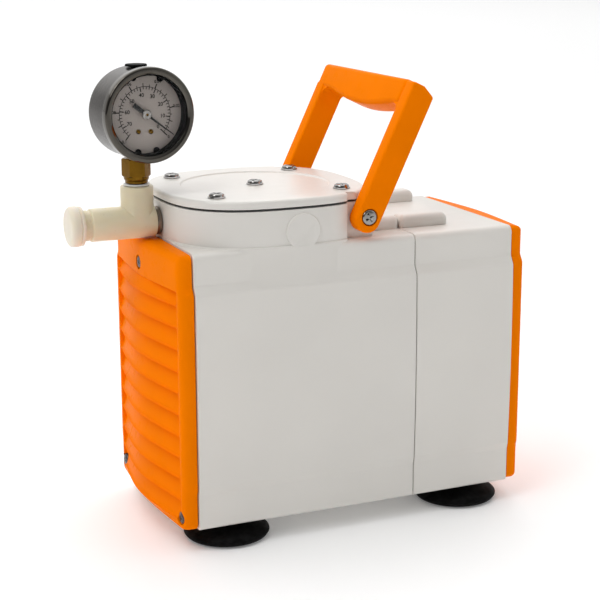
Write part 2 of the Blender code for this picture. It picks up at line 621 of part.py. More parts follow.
def make_motor():
    at = (0.0, 0.0, SHAFT_Z)
    add_object("rotor", ring(SHAFT_R + GAP, ROTOR_R, *STATOR_X, "X", 20), "laminations", at)
    add_object("stator_core", ring(ROTOR_R + 0.6, STATOR_R, *STATOR_X, "X", 20), "laminations", at)
    for name, low, high in (("front_winding", 15.0, 23.7), ("rear_winding", 66.3, 75.0)):
        profile = [(30.0, low + 2.0), (33.0, low), (41.0, low), (44.0, low + 2.0)]
        profile += [(44.0, high), (30.0, high)]
        if name == "rear_winding":
            profile = [(r, low + high - h) for r, h in profile]
        add_object(name, turned(profile, "X", 20), "copper_wire", at)
    for name, x, plate in (("front", FRONT_BEARING_X, FRONT_PLATE_R), ("rear", REAR_BEARING_X, REAR_PLATE_R)):
        bearing = ring(SHAFT_R + GAP, BEARING_R, x, x + BEARING_W, "X", 20)
        add_object(name + "_bearing", bearing, "steel", at)
        hub_low, hub_high = x - 0.5, x + BEARING_W + 0.5
        profile = [(BEARING_R + GAP, hub_low), (BEARING_R + 4.5, hub_low), (BEARING_R + 4.5, x + 3.0)]
        profile += [(plate, x + 3.0), (plate, x + 7.0), (BEARING_R + 4.5, x + 7.0)]
        profile += [(BEARING_R + 4.5, hub_high), (BEARING_R + GAP, hub_high)]
        add_object(name + "_bracket", turned(profile, "X", 20), "cast_alloy", at)
    make_fan(at)
    capacitor = turned([(0.0, 40.0), (12.0, 40.0), (13.0, 41.0), (13.0, 84.0), (0.0, 84.0)], "X", 24)
    add_object("run_capacitor", capacitor, "capacitor_can", (0.0, 37.0, 32.0))


def make_fan(at):
    fan = add_object("cooling_fan", ring(SHAFT_R + GAP, 13.0, *FAN_X, "X", 20), "black_plastic", at)
    blades = []
    for i in range(BLADES):
        blade = block((FAN_X[0] + 0.5, FAN_X[1] - 0.5), (-1.0, 1.0), (11.0, FAN_R))
        bmesh.ops.rotate(blade, verts=blade.verts, matrix=Matrix.Rotation(math.radians(28), 3, "Z"),
                         cent=(sum(FAN_X) / 2, 0.0, 0.0))
        for v in blade.verts:
            v.co.x = min(max(v.co.x, FAN_X[0]), FAN_X[1])
        spin = Matrix.Rotation(2.0 * math.pi * i / BLADES, 3, "X")
        bmesh.ops.rotate(blade, verts=blade.verts, matrix=spin, cent=(0.0, 0.0, 0.0))
        blades.append(cutter("blade_%d" % i, blade, at))
    combine(fan, blades, "UNION")


# ---------------------------------------------------------------------------
# Carrying handle
# ---------------------------------------------------------------------------

def make_handle():
    """A U-shaped bail drawn upright around its pivot axis, then leant over towards +X."""
    turn = (0.0, HANDLE_LEAN, 0.0)
    at = (PIVOT_X, 0.0, PIVOT_Z)
    round_up = ARM_END_R - ARM_HALF
    arm = arc(0.0, -round_up, ARM_HALF, 180, 360, 12)
    arm += [(ARM_HALF, ARM_TOP - 4.6), (ARM_HALF - 8.0, ARM_TOP - 1.0), (-ARM_HALF, ARM_TOP - 1.0)]
    inner = HANDLE_Y - ARM_THICK
    handle = add_object("carry_handle", extruded(arm, -HANDLE_Y, -inner, "Y"), "orange_plastic", at, turn)
    other = add_object("cut_arm_back", extruded(arm, inner, HANDLE_Y, "Y"), None, at, turn)
    belly = [(-inner - 0.5, ARM_TOP), (-inner - 0.5, GRIP_LOW)]
    reach = 40.0
    for i in range(9):
        y = -reach + 2.0 * reach * i / 8
        belly.append((y, GRIP_LOW - (GRIP_LOW - GRIP_BELLY) * math.cos(0.5 * math.pi * y / reach)))
    belly += [(inner + 0.5, GRIP_LOW), (inner + 0.5, ARM_TOP)]
    grip = add_object("cut_grip", extruded(belly, -ARM_HALF, ARM_HALF, "X"), None, at, turn)
    holes = add_object("cut_pivot_holes", cylinder(3.0, -70.0, 70.0, "Y", 16), None, at, turn)
    heads = []
    for side in (-1, 1):
        low, high = sorted((side * (HANDLE_Y - 1.6), side * (HANDLE_Y + 5.0)))
        head = cylinder(5.0, low, high, "Y", 20)
        heads.append(add_object("cut_head_%d" % (side > 0), head, None, at, turn))
    for obj in [other, grip, holes] + heads:
        obj.hide_render = True
        obj.display_type = "WIRE"
    combine(handle, [other, grip], "UNION")
    combine(handle, [holes] + heads)
    for name, side in (("pivot_screw_front", -1), ("pivot_screw_back", 1)):
        seat = HANDLE_Y - 1.6 + GAP
        profile = [(0.0, 43.5), (2.0, 43.5), (2.0, inner - 0.1), (2.6, inner - 0.1), (2.6, seat), (4.6, seat)]
        profile += [(4.0, HANDLE_Y), (0.0, HANDLE_Y)]
        profile = [(r, side * h) for r, h in profile]
        add_object(name, turned(profile, "Y", 16), "zinc_screw", at)


# ---------------------------------------------------------------------------
# Inlet tee, cap and nipple
# ---------------------------------------------------------------------------

def make_tee():
    at = (TEE_X, 0.0, PORT_Z)
    run_right = TEE_R
    left = TEE_END_X - TEE_X
    profile = [(0.0, left - 9.0), (5.2, left - 9.0), (6.0, left - 8.0), (6.0, left - 1.3), (8.4, left - 1.3)]
    profile += [(8.4, left), (TEE_R, left), (TEE_R, run_right), (0.0, run_right)]
    tee = add_object("tee_fitting", turned(profile, "X", 24), "nylon", at)
    branch = cylinder(TEE_R - 0.02, 0.0, TEE_TOP_Z - PORT_Z, "Z", 24, (0.0, 0.0, 0.0), 0.05)
    combine(tee, [cutter("tee_branch", branch, at)], "UNION")
    bores = [
        cutter("tee_run_bore", cylinder(3.5, left - 15.0, 2.0, "X", 16), at),
        cutter("tee_nipple_bore", cylinder(6.0, 1.0, run_right + 5.0, "X", 16), at),
        cutter("tee_branch_bore", cylinder(5.4, -1.0, TEE_TOP_Z - PORT_Z + 5.0, "Z", 16), at),
    ]
    combine(tee, bores)
    flange_low, flange_high = TEE_X + run_right + GAP, -CASE_END - GAP
    inner_tip, outer_tip = TEE_X + 2.0, HEAD_X - BLOCK_BORE_R - 2.0
    profile = [(2.2, inner_tip), (5.6, inner_tip), (5.6, flange_low), (8.2, flange_low), (8.2, flange_high)]
    profile += [(5.6, flange_high), (5.6, outer_tip), (2.2, outer_tip)]
    add_object("inlet_nipple", turned(profile, "X", 16), "steel", (0.0, 0.0, PORT_Z))


def make_inlet_cap():
    left, right = CAP_END_X - TEE_X, TEE_END_X - TEE_X - 1.3 - GAP
    bore_end = TEE_END_X - TEE_X - 9.0 - GAP
    profile = [(0.0, left), (9.0, left), (10.8, left + 0.8), (CAP_R, left + 2.6), (CAP_R, right)]
    profile += [(6.4, right), (6.4, bore_end), (0.0, bore_end)]
    add_object("inlet_cap", turned(profile, "X", 24), "nylon", (TEE_X, 0.0, PORT_Z))


def make_silencer():
    """Sintered outlet plug in the back of the head."""
    seat = HEAD_R + GAP
    profile = [(0.0, BLOCK_BORE_R + 0.5), (5.6, BLOCK_BORE_R + 0.5), (5.6, seat), (8.5, seat)]
    profile += [(8.5, 61.4), (7.9, 61.9), (0.0, 61.9)]
    add_object("exhaust_silencer", turned(profile, "Y", 16), "brass", (EXHAUST_X, 0.0, PORT_Z))


# ---------------------------------------------------------------------------
# Vacuum gauge
# ---------------------------------------------------------------------------

def faced(bm):
    """Turn a gauge piece about the stem's upright axis, to the way the gauge faces."""
    turn = Matrix.Rotation(GAUGE_TURN, 3, "Z")
    bmesh.ops.rotate(bm, verts=bm.verts, matrix=turn, cent=(0.0, 0.0, 0.0))
    return bm


def make_gauge():
    centre = (TEE_X, 0.0, GAUGE_Z)
    seal_low, seal_high = TEE_TOP_Z + GAP, TEE_TOP_Z + 1.2
    add_object("stem_seal", ring(5.3, 7.5, seal_low, seal_high, "Z", 20), "white_tape", (TEE_X, 0.0, 0.0))
    make_stem(seal_high + GAP)
    can_front, skirt = -17.0, 1.0
    rounded = arc(CAN_R - 6.0, GAUGE_BACK_Y - 6.0, 6.0, 0, 90, 3)
    profile = [(CAN_R, can_front)] + rounded + [(0.0, GAUGE_BACK_Y)]
    profile += [(0.0, GAUGE_BACK_Y - 1.4), (CAN_R - 6.0, GAUGE_BACK_Y - 1.4)]
    profile += [(CAN_R - 1.6, GAUGE_BACK_Y - 6.5), (CAN_R - 1.6, can_front)]
    can = add_object("gauge_case", faced(turned(profile, "Y", 32)), "steel", centre)
    stem_hole = cylinder(5.5, -CAN_R - 5.0, -CAN_R + 6.0, "Z", 16)
    plug_hole = faced(cylinder(3.3, CAN_R - 6.0, CAN_R + 5.0, "Z", 12, (0.0, -4.0, 0.0)))
    combine(can, [cutter("case_stem", stem_hole, centre), cutter("case_plug", plug_hole, centre)])
    ring_back = can_front - GAP
    front = GAUGE_FRONT_Y
    profile = [(23.3, ring_back), (BEZEL_R, ring_back), (BEZEL_R, front + 1.6), (BEZEL_R - 1.6, front)]
    profile += [(BEZEL_R - 3.0, front), (22.4, front + skirt), (23.3, front + skirt)]
    add_object("gauge_bezel", faced(turned(profile, "Y", 32)), "steel", centre)
    glass_low = front + skirt + GAP
    window = faced(cylinder(23.0, glass_low, glass_low + 1.5, "Y", 32))
    add_object("gauge_window", window, "clear_window", centre)
    add_object("gauge_dial", faced(ring(1.6, 22.8, -14.6, -13.8, "Y", 32)), "dial_plate", centre)
    plug = [(0.0, CAN_R - 1.2), (3.0, CAN_R - 1.2), (3.0, CAN_R + 0.4), (6.3, CAN_R + 0.4)]
    plug += [(6.0, CAN_R + 1.2), (5.0, CAN_R + 1.5), (0.0, CAN_R + 1.5)]
    plug = faced(turned(plug, "Z", 16, (0.0, -4.0, 0.0)))
    add_object("gauge_fill_plug", plug, "black_rubber", centre)
    make_needle(centre)
    make_bourdon_tube()


def make_stem(low):
    """Brass stem: thread inside the tee, tapered collar, wrench hexagon and the neck into the case."""
    hex_low, hex_high = 207.8, GAUGE_Z - CAN_R - GAP
    profile = [(0.0, 191.0), (4.8, 191.0), (4.8, low), (6.6, low), (7.0, low + 2.2), (7.0, hex_low + 0.5)]
    profile += [(5.2, hex_low + 0.5), (5.2, 226.0), (0.0, 226.0)]
    stem = add_object("gauge_stem", turned(profile, "Z", 24), "brass", (TEE_X, 0.0, 0.0))
    corner = HEX_FLATS / math.sqrt(3.0)
    body = cylinder(corner, hex_low, hex_high - 0.4, "Z", 6, (0.0, 0.0, 0.0), HEX_TURN)
    combine(stem, [cutter("stem_hex", body, (TEE_X, 0.0, 0.0))], "UNION")


def make_needle(centre):
    """Flat pointer with its hub and spindle, pointing along NEEDLE_REST in the dial's plane."""
    tip, tail = 19.8, -9.5
    upper = [(tail, 1.3), (-2.0, 0.9), (2.0, 0.7), (tip, 0.2)]
    bm = extruded(upper + [(x, -z) for x, z in reversed(upper)], -17.4, -16.9, "Y")
    needle = add_object("gauge_needle", bm, "black_plastic", centre, (0.0, -NEEDLE_REST, GAUGE_TURN))
    profile = [(0.0, -18.2), (2.3, -18.2), (2.6, -17.7), (2.6, -16.4), (1.1, -16.4)]
    profile += [(1.1, -11.0), (0.0, -11.0)]
    combine(needle, [cutter("needle_hub", faced(turned(profile, "Y", 12)), centre)], "UNION")


def make_bourdon_tube():
    """The bent pressure tube behind the dial, springing from the stem."""
    mean, half_wide, half_deep = 14.5, 1.1, 3.0
    bm = bmesh.new()
    rings = []
    steps = 16
    for i in range(steps + 1):
        angle = math.radians(-100.0 - 250.0 * i / steps)
        out = Vector((math.cos(angle), 0.0, math.sin(angle)))
        loop = []
        for radial, deep in ((-half_wide, -half_deep), (half_wide, -half_deep), (half_wide, half_deep),
                             (-half_wide, half_deep)):
            loop.append(bm.verts.new(out * (mean + radial) + Vector((0.0, deep - 4.5, 0.5))))
        rings.append(loop)
    for here, after in zip(rings, rings[1:]):
        for i in range(4):
            j = (i + 1) % 4
            bm.faces.new((here[i], here[j], after[j], after[i]))
    bm.faces.new(rings[0])
    bm.faces.new(rings[-1])
    add_object("bourdon_tube", faced(bm), "brass", (TEE_X, 0.0, GAUGE_Z))


# ---------------------------------------------------------------------------
# Mains end: socket and switch
# ---------------------------------------------------------------------------

def make_mains_parts():
    wide, tall = SOCKET_SIZE
    x_front, x_back = CONTROL_PLATE_X + 1.5, 94.0
    body = block((x_back, CONTROL_PLATE_X), (-wide / 2, wide / 2), (-tall / 2, tall / 2))
    at = (0.0, SOCKET_Y, CONTROL_Z)
    socket = add_object("mains_socket", body, "black_plastic", at)
    rim_y, rim_z = wide / 2 + 1.6, tall / 2 + 1.6
    rim = block((CONTROL_PLATE_X + GAP, x_front + GAP), (-rim_y, rim_y), (-rim_z, rim_z))
    bridge = block((CONTROL_PLATE_X - 1.0, x_front), (-wide / 2, wide / 2), (-tall / 2, tall / 2))
    combine(socket, [cutter("socket_rim", rim, at), cutter("socket_bridge", bridge, at)], "UNION")
    mouth = block((97.0, 120.0), (-11.0, 11.0), (-7.5, 7.5))
    combine(socket, [cutter("socket_mouth", mouth, at)])
    pins = []
    for i, (y, z) in enumerate(((-7.0, -1.5), (0.0, 2.5), (7.0, -1.5))):
        pin = block((96.0, 104.5), (y - 1.0, y + 1.0), (z - 2.0, z + 2.0))
        pins.append(cutter("socket_pin_%d" % i, pin, at))
    combine(socket, pins, "UNION")
    make_rocker()


def make_rocker():
    """Rocker in the panel's switch window, tipped about a Y axis; its off end stands proud."""
    wide, tall = SWITCH_SIZE
    half = tall / 2 - 0.9
    axle_x = CONTROL_PLATE_X - 3.0
    outline = [(-4.0, -half + 2.5), (3.2, -half + 0.2), (2.6, 0.0), (5.0, half - 1.0), (-4.0, half - 3.0)]
    rocker = extruded(outline, -wide / 2 + 0.9, wide / 2 - 0.9, "Y")
    add_object("power_rocker", rocker, "black_plastic", (axle_x, SWITCH_Y, CONTROL_Z))


# ---------------------------------------------------------------------------

def main():
    clear_scene()
    make_pump_housing()
    make_motor_housing()
    make_split_gasket()
    make_end_panel("inlet_end_panel", -1, 0)
    make_end_panel("mains_end_panel", 1, 2)
    for i, (y, z) in enumerate(PANEL_SCREWS):
        make_panel_screw("inlet_panel_screw_%d" % (i + 1), -1, y, z)
        make_panel_screw("mains_panel_screw_%d" % (i + 1), 1, y, z)
    for row, sy in (("front", -1), ("back", 1)):
        make_foot("foot_%s_left" % row, -FOOT_X, sy * FOOT_Y)
        make_foot("foot_%s_right" % row, FOOT_X, sy * FOOT_Y)
    make_head_cover()
    make_valve_block()
    make_valves()
    make_diaphragm()
    make_rod()
    make_crank()
    make_motor()
    make_handle()
    make_tee()
    make_inlet_cap()
    make_silencer()
    make_gauge()
    make_mains_parts()


main()
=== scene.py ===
"""Looks for the small diaphragm vacuum pump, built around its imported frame.

Shapes are drawn in millimetres from the middle of the casing, as on the bench, and are moved
into the frame's metres when a piece is made. Each visible part gets a finer mesh than its
frame solid, with rounded edges, and every part gets its own node-based finish.
"""
import math

import bmesh
import bpy
from mathutils import Matrix, Vector


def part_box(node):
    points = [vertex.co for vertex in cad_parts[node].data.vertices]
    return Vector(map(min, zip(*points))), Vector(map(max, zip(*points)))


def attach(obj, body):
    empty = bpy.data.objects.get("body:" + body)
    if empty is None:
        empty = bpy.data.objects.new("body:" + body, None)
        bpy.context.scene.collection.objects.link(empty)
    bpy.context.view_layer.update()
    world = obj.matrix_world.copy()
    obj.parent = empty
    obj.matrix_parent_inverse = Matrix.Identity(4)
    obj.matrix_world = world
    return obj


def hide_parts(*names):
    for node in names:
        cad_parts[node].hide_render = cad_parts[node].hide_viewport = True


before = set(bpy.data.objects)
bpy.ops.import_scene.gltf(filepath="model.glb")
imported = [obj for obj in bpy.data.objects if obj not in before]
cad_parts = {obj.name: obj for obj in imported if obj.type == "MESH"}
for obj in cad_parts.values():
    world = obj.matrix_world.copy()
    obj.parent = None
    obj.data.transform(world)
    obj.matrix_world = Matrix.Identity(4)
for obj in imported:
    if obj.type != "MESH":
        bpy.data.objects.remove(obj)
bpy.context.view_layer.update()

MM = 0.001
GAP = 0.3                      # the room between two pieces that fit together
BEYOND = 5.0                   # how far a cutter reaches past what it cuts


# ---------------------------------------------------------------------------
# Sizes read from the frame, in millimetres from the casing's middle
# ---------------------------------------------------------------------------

def corners(node):
    low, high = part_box(node)
    return low / MM, high / MM


MIDDLE_X = 0.5 * (corners("pump_housing")[0].x + corners("motor_housing")[1].x)


def span(node, axis):
    """A frame solid's extent along one axis, with X counted from the casing's middle."""
    low, high = corners(node)
    shift = MIDDLE_X if axis == "x" else 0.0
    return getattr(low, axis) - shift, getattr(high, axis) - shift


CASE_END = span("motor_housing", "x")[1]
SPLIT_LEFT = span("pump_housing", "x")[1]
SPLIT_RIGHT = span("motor_housing", "x")[0]
BASE_Z = span("motor_housing", "z")[0]
HEAD_TOP_Z = span("pump_housing", "z")[1]
RAIL_TOP_Z = span("motor_housing", "z")[1]
TOP_Z = RAIL_TOP_Z - 7.5
HEAD_X = 0.5 * sum(span("head_cover", "x"))
HEAD_R = span("head_cover", "y")[1]
COVER_LOW_Z, COVER_TOP_Z = span("head_cover", "z")
TEE_X = 0.5 * sum(span("stem_seal", "x"))
GAUGE_Z = 0.5 * sum(span("gauge_bezel", "z"))
BEZEL_R = 0.5 * (span("gauge_bezel", "z")[1] - span("gauge_bezel", "z")[0])
CAN_R = 0.5 * (span("gauge_case", "z")[1] - span("gauge_case", "z")[0])
PORT_Z = 0.5 * sum(span("inlet_nipple", "z"))
TEE_LEFT, TEE_RIGHT = span("tee_fitting", "x")
TEE_R = span("tee_fitting", "y")[1]
TEE_TOP_Z = span("tee_fitting", "z")[1]
CAP_R = span("inlet_cap", "y")[1]
FOOT_R = 0.5 * (span("foot_front_left", "x")[1] - span("foot_front_left", "x")[0])
HANDLE_Y = span("carry_handle", "y")[1]
PIVOT_X = 0.5 * sum(span("pivot_screw_front", "x"))
PIVOT_Z = 0.5 * sum(span("pivot_screw_front", "z"))

# casing section, up its side
CREASE_LOW_Z, CREASE_HIGH_Z = BASE_Z + 21.0, BASE_Z + 25.0
NOTCH_LOW_Z, NOTCH_HIGH_Z = BASE_Z + 136.5, BASE_Z + 141.5
BELT_LOW_Y, BELT_TOP_Y = 60.3, 58.3
SIDE_EDGE_Y, SIDE_MID_Y = 61.2, span("motor_housing", "y")[1]
EDGE_ROUND = 4.0
INNER_Y, INNER_LOW_Z, INNER_HIGH_Z = 55.8, BASE_Z + 4.6, TOP_Z - 6.3
CAST_ROUND = 0.38
SPLIT_DRAW = 0.3               # each half's lip reaches this far over the joint's seal

# rails and lugs on the top
RAIL_FRONT_Y, RAIL_BACK_Y = (-38.5, -26.0), (39.0, 50.4)
RAIL_FRONT_END, RAIL_BACK_END = 68.0, 86.0
RAIL_START, RAIL_NOSE = -10.0, 6.5
LUG_HALF, LUG_FOOT = 7.0, 2.0

# handle
HANDLE_LEAN = math.radians(25.5)
ARM_THICK, ARM_HALF, ARM_END_R = 10.0, 7.7, 9.2
ARM_TOP, GRIP_LOW, GRIP_BELLY = 80.8, 65.4, 61.0

ARM_INNER_Y = HANDLE_Y - ARM_THICK
ARM_BORE_R, SINK_R, SINK = 3.0, 5.0, 1.6

# end panels
PANEL_THICK, PANEL_BOW, PANEL_CREST, PANEL_ROUND, PANEL_CORNER = 8.0, 7.3, 22.0, 4.5, 3.5
PANEL_GAP, PANEL_TRIM, PANEL_THINNEST, FOOT_ROUND = 0.8, 1.0, 2.4, 1.2
FIELD_Y, FIELD_EDGE = 54.0, 0.6
SHELF_SHARE, SILL_SHARE, SILL = 0.58, 0.45, 4.9    # how much of the bow the plain bands keep
LIP_TOP_Z, LIP_PITCH, LIP_COUNT, SHELF_Z = 143.4, 12.5, 10, 151.5
SLAT_DEPTH, LIP_THICK, LIP_CREST = 4.0, 1.2, 0.8
PANEL_LOW_Z, PANEL_HIGH_Z = BASE_Z + 0.5, TOP_Z - 0.8
PANEL_SCREWS = ((0.0, 158.0), (-53.0, 20.0), (53.0, 20.0))    # (y, z)
CONTROL_PLATE_X, CONTROL_Z = 109.4, 149.0
SOCKET_Y, SWITCH_Y = -22.0, 22.0
SOCKET_SIZE, SWITCH_SIZE = (27.0, 20.0), (21.0, 15.0)

# head
HEAD_CENTRE = (HEAD_X, 0.0, 0.0)
HEAD_LOBE, LOBE_START = 0.052, 50.0    # the head is a soft square: how far its corners draw out
ARM_ROOM_X = -6.2                      # from here on the head leaves the handle's arms room
RECESS_R, RECESS = 43.0, 0.8
SCREW_OFFSET, SCREW_BORE_R = 38.2, 2.3
BLOCK_BORE_R, LEDGE_Z, ROD_BORE_R, PORT_R = 44.0, 170.0, 33.0, 6.0
EXHAUST_X = -35.5
PORT_DISC_Z, PORT_DISC_R = 180.4, 10.3

# gauge, with its stations along its own axis
GAUGE_CENTRE = (TEE_X, 0.0, GAUGE_Z)
GAUGE_TURN = math.radians(5.5)
BEZEL_FRONT, BEZEL_BACK, CAN_FRONT, CAN_BACK = -23.0, -17.3, -17.0, 10.0
PANE, DIAL_FACE, DIAL_BACK = (-21.7, -20.2), -14.6, -13.8
NEEDLE_REST = math.radians(-37.0)
HEX_FLATS, HEX_TURN = 14.4, math.radians(-12.0)
SCALE_START, SCALE_SWEEP = -44.0, 273.0    # degrees, anticlockwise from the lower right
SCALE_R, INK_THICK = 15.0, 0.06


# ---------------------------------------------------------------------------
# Outlines and solids
# ---------------------------------------------------------------------------

AXES = {
    "X": lambda r, a, h: (h, r * math.cos(a), r * math.sin(a)),
    "Y": lambda r, a, h: (r * math.sin(a), h, r * math.cos(a)),
    "Z": lambda r, a, h: (r * math.cos(a), r * math.sin(a), h),
}


def arc(cx, cy, radius, start, end, steps):
    """Points along an arc, angles in degrees."""
    turn = [math.radians(start + (end - start) * i / steps) for i in range(steps + 1)]
    return [(cx + radius * math.cos(a), cy + radius * math.sin(a)) for a in turn]


def filleted(points, steps=5):
    """Round an outline's corners: each point is (a, b, radius), and radius 0 keeps it sharp."""
    out = []
    count = len(points)
    for i, (a, b, radius) in enumerate(points):
        here = Vector((a, b))
        to_last = Vector(points[i - 1][:2]) - here
        to_next = Vector(points[(i + 1) % count][:2]) - here
        if radius <= 0.0 or to_last.length < 1e-6 or to_next.length < 1e-6:
            out.append((a, b))
            continue
        half = 0.5 * to_last.angle(to_next)
        reach = min(radius / math.tan(half), 0.49 * to_last.length, 0.49 * to_next.length)
        radius = reach * math.tan(half)
        u, v = to_last.normalized(), to_next.normalized()
        middle = here + (u + v).normalized() * (radius / math.sin(half))
        first, last = here + u * reach - middle, here + v * reach - middle
        sweep = first.angle(last)
        for k in range(steps + 1):
            t = k / steps
            side = first * math.sin((1 - t) * sweep) + last * math.sin(t * sweep)
            out.append(tuple(middle + side / math.sin(sweep)))
    return out


def turned(profile, axis="Z", sides=96, centre=(0.0, 0.0, 0.0), phase=0.0):
    """Revolve a closed (radius, height) outline; flat ends on the axis become single faces."""
    place = AXES[axis]
    bm = bmesh.new()
    rings = []
    for radius, height in profile:
        count = 1 if radius < 1e-6 else sides
        turn = [phase + 2.0 * math.pi * i / sides for i in range(count)]
        rings.append([bm.verts.new(Vector(place(radius, a, height)) + Vector(centre)) for a in turn])
    heights = [height for _, height in profile]
    order = list(range(len(profile)))
    for a, b in zip(order, order[1:] + order[:1]):
        one, two = rings[a], rings[b]
        if len(one) == 1 and len(two) == 1:
            continue
        if abs(heights[a] - heights[b]) < 1e-6 and 1 in (len(one), len(two)):
            bm.faces.new(one if len(two) == 1 else two)
            continue
        for i in range(sides):
            j = (i + 1) % sides
            quad = [one[i % len(one)], one[j % len(one)], two[j % len(two)], two[i % len(two)]]
            bm.faces.new(list(dict.fromkeys(quad)))
    bmesh.ops.delete(bm, geom=[v for v in bm.verts if not v.link_faces], context="VERTS")
    return bm


def cylinder(radius, low, high, axis="Z", sides=64, centre=(0.0, 0.0, 0.0), phase=0.0):
    return turned([(0.0, low), (radius, low), (radius, high), (0.0, high)], axis, sides, centre, phase)


def add_prism(bm, first, last):
    """Join two loops of points into a closed solid."""
    one, two = ([bm.verts.new(point) for point in loop] for loop in (first, last))
    bm.faces.new(one)
    bm.faces.new(two[::-1])
    for i in range(len(one)):
        j = (i + 1) % len(one)
        bm.faces.new((one[i], two[i], two[j], one[j]))
    return bm


def extruded(outline, low, high, axis="X"):
    """Extrude an outline: (y, z) along X, (x, z) along Y or (x, y) along Z."""
    place = {
        "X": lambda a, b, h: (h, a, b),
        "Y": lambda a, b, h: (a, h, b),
        "Z": lambda a, b, h: (a, b, h),
    }[axis]
    return add_prism(bmesh.new(), *([place(a, b, h) for a, b in outline] for h in (low, high)))


def sided(side, *distances):
    """Distances from the middle as a low and a high coordinate on one side, -1 or 1."""
    return sorted(side * d for d in distances)


def block(x, y, z):
    outline = [(x[0], y[0]), (x[1], y[0]), (x[1], y[1]), (x[0], y[1])]
    return extruded(outline, z[0], z[1], "Z")


def rounded_block(x, y, z, axis, radius):
    """A box whose edges along one axis are rounded."""
    pair = {"X": (y, z, x), "Y": (x, z, y), "Z": (x, y, z)}[axis]
    (a0, a1), (b0, b1), (low, high) = pair
    outline = [(a0, b0, radius), (a1, b0, radius), (a1, b1, radius), (a0, b1, radius)]
    return extruded(filleted(outline, 6), low, high, axis)


def mirrored(half):
    return half + [(-a,) + tuple(rest) for a, *rest in reversed(half)]


def object_from(name, bm, finish=None):
    """An object from a millimetre bmesh; its mesh is moved to its place in the frame."""
    bmesh.ops.remove_doubles(bm, verts=bm.verts, dist=1e-4)
    bmesh.ops.recalc_face_normals(bm, faces=bm.faces)
    bmesh.ops.translate(bm, vec=(MIDDLE_X, 0.0, 0.0), verts=bm.verts)
    bmesh.ops.scale(bm, vec=(MM, MM, MM), verts=bm.verts)
    mesh = bpy.data.meshes.new(name)
    bm.to_mesh(mesh)
    bm.free()
    obj = bpy.data.objects.new(name, mesh)
    bpy.context.scene.collection.objects.link(obj)
    if finish:
        mesh.materials.append(finish)
    return obj


def bevelled(obj, width, segments=3, angle=32.0):
    step = obj.modifiers.new("rounding_%d" % len(obj.modifiers), "BEVEL")
    step.width = width * MM
    step.segments = segments
    step.limit_method = "ANGLE"
    step.angle_limit = math.radians(angle)
    step.use_clamp_overlap = True
    return obj


def combined(target, tools, operation="DIFFERENCE"):
    """Booleans with each tool in turn; the tools are removed when the piece is settled."""
    for tool in tools:
        step = target.modifiers.new(operation.lower() + "_" + tool.name, "BOOLEAN")
        step.operation = operation
        step.solver = "EXACT"
        step.object = tool
    return target


def settled(obj, *tools):
    """Apply an object's modifiers and remove the tools that they used."""
    bpy.context.view_layer.update()
    shape = obj.evaluated_get(bpy.context.evaluated_depsgraph_get())
    mesh = bpy.data.meshes.new_from_object(shape)
    obj.modifiers.clear()
    obj.data = mesh
    for tool in tools:
        bpy.data.objects.remove(tool, do_unlink=True)
    return obj


def carved(obj, cuts, *used):
    """Cut each bmesh out of an object, and remove the other objects that its shape used."""
    tools = [object_from("cut", bm) for bm in cuts]
    return settled(combined(obj, tools), *used, *tools)


def put(obj, body, finish_slot, *nodes, sharp=38.0):
    """Shade a piece, put it on its body and let it stand for its frame solids."""
    obj.data.shade_smooth()
    obj.data.set_sharp_from_angle(angle=math.radians(sharp))
    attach(obj, body)
    if nodes:
        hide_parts(*nodes)
    return obj


# ---------------------------------------------------------------------------
# Finishes
# ---------------------------------------------------------------------------

def add_node(tree, kind, **inputs):
    """Add a shader node; its inputs go by name, with _ for a space, and are values or sockets."""
    node = tree.nodes.new("ShaderNode" + kind)
    for name, value in inputs.items():
        socket = node.inputs[name.replace("_", " ")]
        if isinstance(value, bpy.types.NodeSocket):
            tree.links.new(value, socket)
        else:
            socket.default_value = value
    return node


